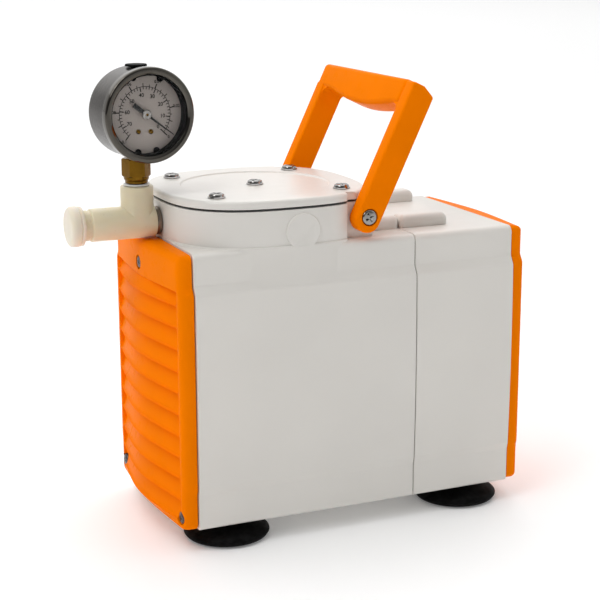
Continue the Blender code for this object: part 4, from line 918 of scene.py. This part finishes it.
def make_handle():
    """The bail: two flat arms with soft edges and a grip with a finger belly between them."""
    inner = ARM_INNER_Y
    end = arc(0.0, ARM_HALF - ARM_END_R, ARM_HALF, 180, 360, 28)
    near = [(ARM_HALF, ARM_TOP - 4.6), (ARM_HALF - 8.0, ARM_TOP - 1.0), (-ARM_HALF, ARM_TOP - 1.0)]
    far = [(ARM_HALF, GRIP_LOW + 3.0), (-ARM_HALF, GRIP_LOW + 3.0)]
    arms = []
    for top, low, high in ((near, -HANDLE_Y, -inner), (far, inner, HANDLE_Y)):
        arm = object_from("arm", leant(extruded(end + top, low, high, "Y")), ORANGE)
        arms.append(bevelled(arm, 1.3, 5, 28.0))
    reach, steps = 41.0, 28
    belly = [(-inner - 0.5, ARM_TOP), (-inner - 0.5, GRIP_LOW)]
    for i in range(steps + 1):
        y = -reach + 2.0 * reach * i / steps
        belly.append((y, GRIP_LOW - (GRIP_LOW - GRIP_BELLY) * math.cos(0.5 * math.pi * y / reach)))
    belly += [(inner + 0.5, GRIP_LOW), (HANDLE_Y, GRIP_LOW), (HANDLE_Y, ARM_TOP)]
    grip = bevelled(object_from("grip", leant(extruded(belly, -ARM_HALF, ARM_HALF, "X"))), 3.0, 7, 50.0)
    joined = [arms[1], grip]
    cuts = [leant(cylinder(ARM_BORE_R, -70.0, 70.0, "Y", 48))]
    for side in (-1, 1):
        web = [(inner + 0.5, GRIP_LOW + 2.0), (inner + 0.5, GRIP_LOW - 5.0)]
        web += arc(inner - 5.0, GRIP_LOW - 5.0, 5.0, 0, 90, 8) + [(inner - 5.0, GRIP_LOW + 2.0)]
        web = leant(extruded([(side * y, z) for y, z in web], 0.8 - ARM_HALF, ARM_HALF - 0.8, "X"))
        joined.append(object_from("web", web))
        sink = sided(side, HANDLE_Y - SINK, HANDLE_Y + BEYOND)
        cuts.append(leant(cylinder(SINK_R, *sink, "Y", 64)))
    handle = carved(combined(arms[0], joined, "UNION"), cuts, *joined)
    handle.name = "carry_bail"
    put(handle, "handle", "orange_plastic", "carry_handle", sharp=30.0)


def make_pivot_screw(node, side):
    """Plated screw, its domed head sunk in the handle's arm and its shank in the lug."""
    seat, top, head = HANDLE_Y - SINK + GAP, HANDLE_Y + 0.3, 4.6
    inner = ARM_INNER_Y - 0.1
    profile = [(0.0, 43.5), (2.0, 43.5), (2.0, inner), (2.6, inner), (2.6, seat), (head, seat)]
    profile += [(head - 0.05, seat + 0.35)] + arc(head - 1.25, seat + 0.35, 1.2, 15, 80, 6) + [(0.0, top)]
    shape = turned([(r, side * h) for r, h in profile], "Y", 64, (PIVOT_X, 0.0, PIVOT_Z))
    screw = object_from(node + "_head", shape, CHROME)
    cross_cut(screw, "Y", (PIVOT_X, side * top, PIVOT_Z), -side, 2.9, 1.3, 1.3, 0.5)
    put(screw, "base", "zinc_screw", node)


# ---------------------------------------------------------------------------
# Inlet tee, cap and nipple
# ---------------------------------------------------------------------------

def make_tee():
    """Moulded tee: two equal pipes blended where they meet, with a spigot for the cap."""
    at = (TEE_X, 0.0, PORT_Z)
    left, right = TEE_LEFT - TEE_X, TEE_RIGHT - TEE_X
    profile = [(0.0, left), (5.2, left), (6.0, left + 1.0), (6.0, left + 4.7)]
    profile += [(8.3, left + 4.7), (8.7, left + 5.1), (8.7, left + 7.5), (8.4, left + 7.7)]
    profile += arc(8.4, left + 10.0, TEE_R - 8.4, 270, 360, 4)
    profile += arc(TEE_R - 0.8, right - 0.8, 0.8, 0, 90, 5) + [(0.0, right)]
    tee = object_from("inlet_tee", turned(profile, "X", 96, at), NYLON)
    top = TEE_TOP_Z - PORT_Z
    branch = [(0.0, 0.0), (TEE_R - 0.02, 0.0)] + arc(TEE_R - 0.82, top - 0.8, 0.8, 0, 90, 5)
    branch = object_from("branch", turned(branch + [(0.0, top)], "Z", 96, at, 0.02))
    combined(tee, [branch], "UNION")
    cuts = [
        cylinder(3.5, left - 6.0, 2.0, "X", 32, at),
        cylinder(6.0, 1.0, right + BEYOND, "X", 48, at),
        cylinder(5.4, -1.0, top + BEYOND, "Z", 48, at),
    ]
    carved(tee, cuts, branch)
    put(tee, "base", "nylon", "tee_fitting")
    low, high = span("inlet_nipple", "x")
    collar = TEE_RIGHT + GAP, -CASE_END - GAP
    profile = [(2.2, low), (5.6, low), (5.6, collar[0]), (7.9, collar[0]), (8.2, collar[0] + 0.4)]
    profile += [(8.2, collar[1] - 0.4), (7.9, collar[1]), (5.6, collar[1]), (5.6, high), (2.2, high)]
    nipple = turned(profile, "X", 64, (0.0, 0.0, PORT_Z))
    put(object_from("inlet_union", nipple, NIPPLE_STEEL), "base", "steel", "inlet_nipple")


def make_inlet_cap():
    """Blanking cap: a domed, ribbed knob whose skirt goes into the tee."""
    left, tail = span("inlet_cap", "x")
    skirt = TEE_LEFT + 4.4
    profile = [(0.0, left, 0.0), (CAP_R, left, 3.4), (CAP_R, skirt - 2.6, 0.6)]
    profile += [(CAP_R - 0.7, skirt - 2.2, 0.3), (CAP_R - 0.7, skirt - 1.9, 0.3)]
    profile += [(CAP_R - 0.2, skirt - 1.7, 0.3), (CAP_R - 0.4, skirt, 0.5)]
    profile += [(6.4, skirt, 0.0), (6.4, tail, 0.0), (0.0, tail, 0.0)]
    cap = turned(filleted(profile, 8), "X", 96, (0.0, 0.0, PORT_Z))
    put(object_from("blanking_cap", cap, CAP_NYLON), "cap", "nylon", "inlet_cap")


# ---------------------------------------------------------------------------
# Vacuum gauge
# ---------------------------------------------------------------------------

def faced(bm):
    """Turn a gauge piece about the stem's upright axis, to the way the gauge faces."""
    turn = Matrix.Rotation(GAUGE_TURN, 3, "Z")
    bmesh.ops.rotate(bm, verts=bm.verts, matrix=turn, cent=(TEE_X, 0.0, 0.0))
    return bm


def add_gauge_part(name, profile, finish, place, steps=0, sides=128, axis="Y", centre=GAUGE_CENTRE):
    """A turned piece of the gauge; place is its body, its finish slot and what it stands for."""
    outline = filleted(profile, steps) if steps else profile
    return put(object_from(name, faced(turned(outline, axis, sides, centre)), finish), *place)


def dial_point(angle, radius, y):
    """A point on the dial; the angle is in degrees, anticlockwise from +X as the dial is read."""
    turn = math.radians(angle)
    return Vector((TEE_X + radius * math.cos(turn), y, GAUGE_Z + radius * math.sin(turn)))


def add_mark(bm, angle, inner, outer, width, y):
    """One printed line, standing a hair off the dial."""
    along = dial_point(angle, 1.0, 0.0) - Vector(GAUGE_CENTRE)
    across = Vector((-along.z, 0.0, along.x)) * (width / 2)
    base = Vector((TEE_X, y, GAUGE_Z))
    corners = ((inner, -1), (outer, -1), (outer, 1), (inner, 1))
    front = [base + along * r + across * s for r, s in corners]
    add_prism(bm, front, [point + Vector((0.0, INK_THICK, 0.0)) for point in front])


def add_arc_line(bm, width, y):
    """A thin printed arc that runs the length of the scale."""
    steps = 72
    inner, outer = SCALE_R - width / 2, SCALE_R + width / 2
    section = ((inner, y), (outer, y), (outer, y + INK_THICK), (inner, y + INK_THICK))
    rings = []
    for i in range(steps + 1):
        angle = SCALE_START + SCALE_SWEEP * i / steps
        rings.append([bm.verts.new(dial_point(angle, *corner)) for corner in section])
    for here, after in zip(rings, rings[1:]):
        for i in range(4):
            j = (i + 1) % 4
            bm.faces.new((here[i], here[j], after[j], after[i]))
    bm.faces.new(rings[0])
    bm.faces.new(rings[-1][::-1])


def numeral(text, angle, radius, size, y):
    """An upright number on the dial, as a mesh."""
    curve = bpy.data.curves.new("numeral", "FONT")
    curve.body = text
    curve.size = size
    curve.align_x, curve.align_y = "CENTER", "CENTER"
    curve.extrude = 0.03
    curve.offset = 0.05
    curve.resolution_u = 3
    maker = bpy.data.objects.new("numeral", curve)
    bpy.context.scene.collection.objects.link(maker)
    maker.rotation_euler = (math.pi / 2, 0.0, 0.0)
    maker.location = dial_point(angle, radius, y)
    bpy.context.view_layer.update()
    shape = maker.evaluated_get(bpy.context.evaluated_depsgraph_get())
    mesh = bpy.data.meshes.new_from_object(shape)
    mesh.transform(maker.matrix_world)
    bpy.data.objects.remove(maker, do_unlink=True)
    return mesh


def make_dial_print():
    """Two vacuum scales on one arc: the inner one's numbers run to 70, the outer one's to 0.1."""
    y = DIAL_FACE - 0.1
    bm = bmesh.new()
    inner_steps, outer_steps = 38, 20
    for i in range(inner_steps + 1):
        length, width = (2.6, 0.55) if i % 5 == 0 else (1.5, 0.4)
        angle = SCALE_START + SCALE_SWEEP * i / inner_steps
        add_mark(bm, angle, SCALE_R - length, SCALE_R, width, y)
    for i in range(outer_steps + 1):
        length, width = (2.7, 0.6) if i % 4 == 0 else (1.9, 0.45) if i % 2 == 0 else (1.2, 0.4)
        angle = SCALE_START + SCALE_SWEEP * i / outer_steps
        add_mark(bm, angle, SCALE_R, SCALE_R + length, width, y)
    add_arc_line(bm, 0.3, y)
    labels = [(str(k * 10), k * 5 / inner_steps, 10.5, 3.0) for k in range(8)]
    outer = ("0", "0.02", "0.04", "0.06", "0.08", "0.1")
    labels += [(text, k / 5, 19.1, 2.35) for k, text in enumerate(outer)]
    for text, share, radius, size in labels:
        label = numeral(text, SCALE_START + SCALE_SWEEP * share, radius, size, y)
        bm.from_mesh(label)
        bpy.data.meshes.remove(label)
    put(object_from("dial_print", faced(bm), DIAL_INK), "base", "dial_plate")


def make_gauge_case():
    profile = [(CAN_R, CAN_FRONT, 0.0), (CAN_R, CAN_BACK, 6.0), (0.0, CAN_BACK, 0.0)]
    wall = 1.4
    profile += [(0.0, CAN_BACK - wall, 0.0), (CAN_R - 1.6, CAN_BACK - wall, 4.6)]
    profile += [(CAN_R - 1.6, CAN_FRONT, 0.0)]
    can = faced(turned(filleted(profile, 12), "Y", 128, GAUGE_CENTRE))
    can = object_from("gauge_can", can, CAN_STEEL)
    plug_at = (TEE_X, -4.0, GAUGE_Z)
    stem_hole = cylinder(5.5, -CAN_R - BEYOND, -CAN_R + 6.0, "Z", 48, GAUGE_CENTRE)
    plug_hole = faced(cylinder(3.3, CAN_R - 6.0, CAN_R + BEYOND, "Z", 32, plug_at))
    put(carved(can, [stem_hole, plug_hole]), "base", "steel", "gauge_case")
    front = BEZEL_FRONT
    rim = [(23.3, BEZEL_BACK, 0.0), (BEZEL_R, BEZEL_BACK, 0.5), (BEZEL_R, front, 1.7)]
    rim += [(BEZEL_R - 2.6, front, 0.8), (22.2, front + 1.0, 0.2), (23.3, front + 1.05, 0.0)]
    add_gauge_part("gauge_rim", rim, BEZEL_STEEL, ("base", "steel", "gauge_bezel"), 8, 160)
    low, high = PANE
    pane = [(0.0, low, 0.0), (23.0, low, 0.2), (23.0, high, 0.2), (0.0, high, 0.0)]
    add_gauge_part("gauge_pane", pane, GLASS, ("base", "clear_window", "gauge_window"), 3)
    # painted shade: a near-black liner ring round the inside of the bezel, between window and dial, stands
    # in for the shaded inner wall
    shade_ring = [(21.6, high + 0.15), (23.2, high + 0.15), (23.2, -14.9), (21.4, -14.9)]
    add_gauge_part("gauge_shade_ring", shade_ring, SHADE_RING_BLACK, ("base", "black_rubber"))
    plug = [(0.0, CAN_R - 1.2, 0.0), (3.0, CAN_R - 1.2, 0.2), (3.0, CAN_R + 0.4, 0.0)]
    plug += [(6.3, CAN_R + 0.4, 0.2), (6.0, CAN_R + 1.5, 0.5), (0.0, CAN_R + 1.5, 0.0)]
    place = ("base", "black_rubber", "gauge_fill_plug")
    add_gauge_part("filler_plug", plug, BLACK_RUBBER, place, 4, 64, "Z", plug_at)


def make_dial():
    face, back = DIAL_FACE, DIAL_BACK
    plate = [(1.6, face, 0.0), (22.0, face, 0.15), (22.0, back, 0.15), (1.6, back, 0.0)]
    add_gauge_part("dial_face", plate, DIAL, ("base", "dial_plate", "gauge_dial"), 3)
    make_dial_print()
    foot = face - 0.12
    pad = [(0.0, face - 1.1), (1.5, face - 1.1), (1.8, face - 0.8), (1.8, foot), (0.0, foot)]
    head = [(0.0, face - 1.0), (0.9, face - 0.95), (1.35, face - 0.5), (1.35, foot), (0.0, foot)]
    for name, shape, finish, slot, radius, angles in (
            ("dial_pad", pad, BLACK_RUBBER, "black_rubber", 21.1, (108.0, 64.0, 257.0, 287.0)),
            ("dial_screw", head, BRASS, "brass", 10.2, (246.0, 288.0))):
        for i, angle in enumerate(angles, 1):
            centre = tuple(dial_point(angle, radius, 0.0))
            add_gauge_part("%s_%d" % (name, i), shape, finish, ("base", slot), 0, 32, "Y", centre)


def make_needle():
    """Black pointer with a broad tail, a plated hub and a brass spindle end."""
    front, back = -17.4, -16.9
    tip, tail = 19.8, -9.5
    upper = [(tail, 1.35), (-4.2, 1.3), (-1.6, 0.75), (2.0, 0.65), (tip, 0.22)]
    bm = extruded(upper + [(x, -z) for x, z in reversed(upper)], front, back, "Y")
    turn = Matrix.Rotation(-NEEDLE_REST, 3, "Y")
    bmesh.ops.rotate(bm, verts=bm.verts, matrix=turn, cent=(0.0, 0.0, 0.0))
    bmesh.ops.translate(bm, verts=bm.verts, vec=GAUGE_CENTRE)
    pointer = bevelled(object_from("gauge_pointer", faced(bm), NEEDLE_BLACK), 0.08, 2)
    put(settled(pointer), "needle", "black_plastic", "gauge_needle")
    hub = [(0.0, -18.0), (0.95, -18.0), (0.95, -18.15), (2.2, -18.15), (2.6, -17.8), (2.6, -16.4)]
    hub += [(1.1, -16.4), (1.1, -11.0), (0.0, -11.0)]
    add_gauge_part("pointer_hub", hub, HUB_STEEL, ("needle", "steel"), 0, 48)
    spindle = [(0.0, -18.35), (0.5, -18.35), (0.75, -18.1), (0.75, -17.95), (0.0, -17.95)]
    add_gauge_part("pointer_spindle", spindle, BRASS, ("needle", "brass"), 0, 32)


def make_stem():
    """Brass stem: a tapered collar on the white sealing washer, then the wrench hexagon."""
    low, high = span("stem_seal", "z")
    washer = [(5.3, low, 0.0), (7.5, low, 0.3), (7.5, high, 0.3), (5.3, high, 0.0)]
    at = (TEE_X, 0.0, 0.0)
    washer = turned(filleted(washer, 4), "Z", 64, at)
    put(object_from("sealing_washer", washer, TAPE), "base", "white_tape", "stem_seal")
    seat, hex_low, hex_high = high + GAP, 207.8, GAUGE_Z - CAN_R - 0.7
    profile = [(0.0, 191.0), (4.8, 191.0), (4.8, seat), (6.1, seat), (6.5, seat + 0.4), (6.5, seat + 1.2)]
    profile += [(7.2, seat + 2.6), (7.2, hex_low + 0.8), (5.2, hex_low + 0.8), (5.2, 226.0), (0.0, 226.0)]
    stem = object_from("gauge_neck", turned(profile, "Z", 64, at), BRASS)
    corner = HEX_FLATS / math.sqrt(3.0)
    body = cylinder(corner, hex_low, hex_high, "Z", 6, at, HEX_TURN)
    body = bevelled(object_from("hex", body), 0.25, 2, 20.0)
    chamfer = [(0.0, hex_low), (corner - 0.9, hex_low), (corner + 0.1, hex_low + 0.8)]
    chamfer += [(corner + 0.1, hex_high - 0.8), (corner - 0.9, hex_high), (0.0, hex_high)]
    chamfer = object_from("chamfer", turned(chamfer, "Z", 64, at))
    combined(body, [chamfer], "INTERSECT")
    settled(combined(stem, [body], "UNION"), body, chamfer)
    put(stem, "base", "brass", "gauge_stem", sharp=25.0)


# ---------------------------------------------------------------------------
# Mains end: socket and switch
# ---------------------------------------------------------------------------

def make_socket():
    """Three-pin mains inlet with a soft rim and a mouth whose lower corners are cut off."""
    wide, tall = SOCKET_SIZE
    x_front = span("mains_socket", "x")[1]
    y, z, lip = wide / 2, tall / 2, 1.6
    rim_y = (SOCKET_Y - y - lip, SOCKET_Y + y + lip)
    rim_z = (CONTROL_Z - z - lip, CONTROL_Z + z + lip)
    rim = rounded_block((CONTROL_PLATE_X + GAP, x_front), rim_y, rim_z, "X", 2.5)
    socket = bevelled(object_from("mains_inlet", rim, BLACK_PLASTIC), 0.5, 3, 60.0)
    body = block((94.0, x_front - 0.6), (SOCKET_Y - y, SOCKET_Y + y), (CONTROL_Z - z, CONTROL_Z + z))
    body = object_from("body", body)
    y, z = 11.0, 7.5
    mouth = [(-y, -z + 4.0, 0.8), (-y + 4.0, -z, 0.8), (y - 4.0, -z, 0.8), (y, -z + 4.0, 0.8), (y, z, 1.5)]
    mouth = [(SOCKET_Y + a, CONTROL_Z + b, r) for a, b, r in mouth + [(-y, z, 1.5)]]
    carved(combined(socket, [body], "UNION"), [extruded(filleted(mouth, 4), 97.0, 120.0, "X")], body)
    put(socket, "base", "black_plastic", "mains_socket")
    for i, (py, pz) in enumerate(((-7.0, -1.5), (0.0, 2.5), (7.0, -1.5))):
        blade = rounded_block((96.5, 104.5), (SOCKET_Y + py - 1.0, SOCKET_Y + py + 1.0),
                              (CONTROL_Z + pz - 2.0, CONTROL_Z + pz + 2.0), "X", 0.4)
        blade = bevelled(object_from("mains_pin_%d" % (i + 1), blade, SHAFT_STEEL), 0.3, 2, 60.0)
        put(settled(blade), "base", "steel")


def make_rocker():
    """Rocker switch key with soft edges and a dished face."""
    wide, tall = SWITCH_SIZE
    half = tall / 2 - 0.9
    axle_x = CONTROL_PLATE_X - 3.0
    outline = [(-4.0, -half + 2.5, 0.3), (3.2, -half + 0.2, 0.5)]
    steps = 8
    for i in range(1, steps):
        t = i / steps
        z = -half + 0.2 + t * (2.0 * half - 1.2)
        outline.append((3.2 + 1.8 * t - 2.2 * math.sin(math.pi * t), z, 0.0))
    outline += [(5.0, half - 1.0, 0.5), (-4.0, half - 3.0, 0.3)]
    outline = [(axle_x + a, CONTROL_Z + b) for a, b in filleted(outline, 4)]
    key = extruded(outline, SWITCH_Y - wide / 2 + 0.9, SWITCH_Y + wide / 2 - 0.9, "Y")
    key = settled(bevelled(object_from("rocker_key", key, BLACK_PLASTIC), 0.35, 3, 40.0))
    put(key, "rocker", "black_plastic", "power_rocker")


# ---------------------------------------------------------------------------
# Inner works keep their frame shapes and get their own finishes
# ---------------------------------------------------------------------------

INNER_FINISHES = {
    "valve_block": CAST, "connecting_rod": CAST, "crank": CAST, "diaphragm_clamp": CAST,
    "front_bracket": CAST, "rear_bracket": CAST,
    "diaphragm": GASKET, "intake_valve": GASKET, "exhaust_valve": GASKET,
    "rod_bearing": SHAFT_STEEL, "front_bearing": SHAFT_STEEL, "rear_bearing": SHAFT_STEEL,
    "motor_shaft": SHAFT_STEEL,
    "rotor": LAMINATIONS, "stator_core": LAMINATIONS,
    "front_winding": COPPER, "rear_winding": COPPER,
    "cooling_fan": BLACK_PLASTIC, "run_capacitor": CAN_ALLOY, "bourdon_tube": TUBE_BRASS,
}


def finish_inner_works():
    for node, finish in INNER_FINISHES.items():
        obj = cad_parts[node]
        obj.data.materials.clear()
        obj.data.materials.append(finish)
        for slot in obj.material_slots:
            slot.material = finish


# ---------------------------------------------------------------------------
# Studio
# ---------------------------------------------------------------------------

CAMERA_AZIMUTH, CAMERA_ELEVATION = math.radians(23.55), math.radians(13.88)
CAMERA_ROLL = math.radians(-0.17)
CAMERA_DISTANCE, LENS = 0.91972, 91.2
CAMERA_TARGET = Vector(((MIDDLE_X - 11.7) * MM, 0.0, 0.1252))


def make_camera():
    camera = bpy.data.objects.new("camera", bpy.data.cameras.new("camera"))
    bpy.context.scene.collection.objects.link(camera)
    level = math.cos(CAMERA_ELEVATION)
    back = Vector((-math.sin(CAMERA_AZIMUTH) * level, -math.cos(CAMERA_AZIMUTH) * level,
                   math.sin(CAMERA_ELEVATION)))
    camera.location = CAMERA_TARGET + back * CAMERA_DISTANCE
    aim = (-back).to_track_quat("-Z", "Y").to_matrix()
    camera.rotation_euler = (aim @ Matrix.Rotation(CAMERA_ROLL, 3, "Z")).to_euler()
    camera.data.lens = LENS
    camera.data.sensor_width = 36.0
    bpy.context.scene.camera = camera


def soft_lamp(name, place, aim, size, watts):
    lamp = bpy.data.objects.new(name, bpy.data.lights.new(name, "AREA"))
    bpy.context.scene.collection.objects.link(lamp)
    lamp.data.shape = "RECTANGLE"
    lamp.data.size, lamp.data.size_y = size
    lamp.data.energy = watts
    lamp.location = place
    lamp.rotation_euler = (Vector(aim) - Vector(place)).to_track_quat("-Z", "Y").to_euler()


def make_world():
    """White to the eye; as a light it is bright behind the pump and dim behind the viewer."""
    world = bpy.data.worlds.new("studio")
    world.use_nodes = True
    tree = world.node_tree
    seen = tree.nodes["Background"]
    seen.inputs["Color"].default_value = (1.0, 1.0, 1.0, 1.0)
    seen.inputs["Strength"].default_value = 1.0
    slant = add_node(tree, "VectorMath")
    slant.operation = "DOT_PRODUCT"
    slant.inputs[1].default_value = (0.5, 0.85, 0.12)
    tree.links.new(add_node(tree, "TexCoord").outputs["Generated"], slant.inputs[0])
    limits = {"From_Min": -0.9, "From_Max": 0.9, "To_Min": 0.14, "To_Max": 1.15}
    depth = add_node(tree, "MapRange", Value=slant.outputs["Value"], **limits)
    light = add_node(tree, "Background", Strength=depth.outputs["Result"])
    mix = add_node(tree, "MixShader", Fac=add_node(tree, "LightPath").outputs["Is Camera Ray"])
    tree.links.new(light.outputs["Background"], mix.inputs[1])
    tree.links.new(seen.outputs["Background"], mix.inputs[2])
    tree.links.new(mix.outputs["Shader"], tree.nodes["World Output"].inputs["Surface"])
    bpy.context.scene.world = world


def make_studio():
    reach = 14.0
    floor = bpy.data.meshes.new("floor")
    rim = [(-reach, -reach, 0), (reach, -reach, 0), (reach, reach, 0), (-reach, reach, 0)]
    floor.from_pydata(rim, [], [(0, 1, 2, 3)])
    pale = Finish("pale_floor", (0.94, 0.94, 0.94), 0.6)
    pale.set(Emission_Color=(1.0, 1.0, 1.0, 1.0), Emission_Strength=0.12)
    floor.materials.append(pale.material)
    floor = bpy.data.objects.new("floor", floor)
    bpy.context.scene.collection.objects.link(floor)
    middle = (0.0, 0.0, 0.12)
    soft_lamp("key", (-1.7, -1.1, 1.8), middle, (1.0, 0.9), 9.5)
    soft_lamp("edge", (-0.65, -0.2, 1.15), middle, (0.45, 0.45), 2.6)
    soft_lamp("top", (0.0, 0.2, 1.9), middle, (1.8, 1.6), 8.5)
    soft_lamp("fill", (1.8, -1.3, 0.9), middle, (1.3, 1.2), 3.0)
    soft_lamp("ceiling", (0.0, 5.2, 3.2), (0.0, 5.2, 0.0), (9.0, 9.0), 150.0)
    make_world()
    bpy.context.scene.view_settings.view_transform = "Standard"


# ---------------------------------------------------------------------------

make_camera()
make_studio()
make_pump_housing()
make_motor_housing()
make_end_panel("inlet_cover", "inlet_end_panel", -1, 0)
make_end_panel("mains_cover", "mains_end_panel", 1, 2)
for index, at in enumerate(PANEL_SCREWS, 1):
    for end, side in (("inlet", -1), ("mains", 1)):
        make_panel_screw("%s_cover_screw_%d" % (end, index), "%s_panel_screw_%d" % (end, index), side, *at)
for foot_node in ("foot_front_left", "foot_front_right", "foot_back_left", "foot_back_right"):
    make_foot(foot_node)
make_head_cover()
make_silencer()
make_handle()
make_pivot_screw("pivot_screw_front", -1)
make_pivot_screw("pivot_screw_back", 1)
make_tee()
make_inlet_cap()
make_gauge_case()
make_dial()
make_needle()
make_stem()
make_socket()
make_rocker()
finish_inner_works()
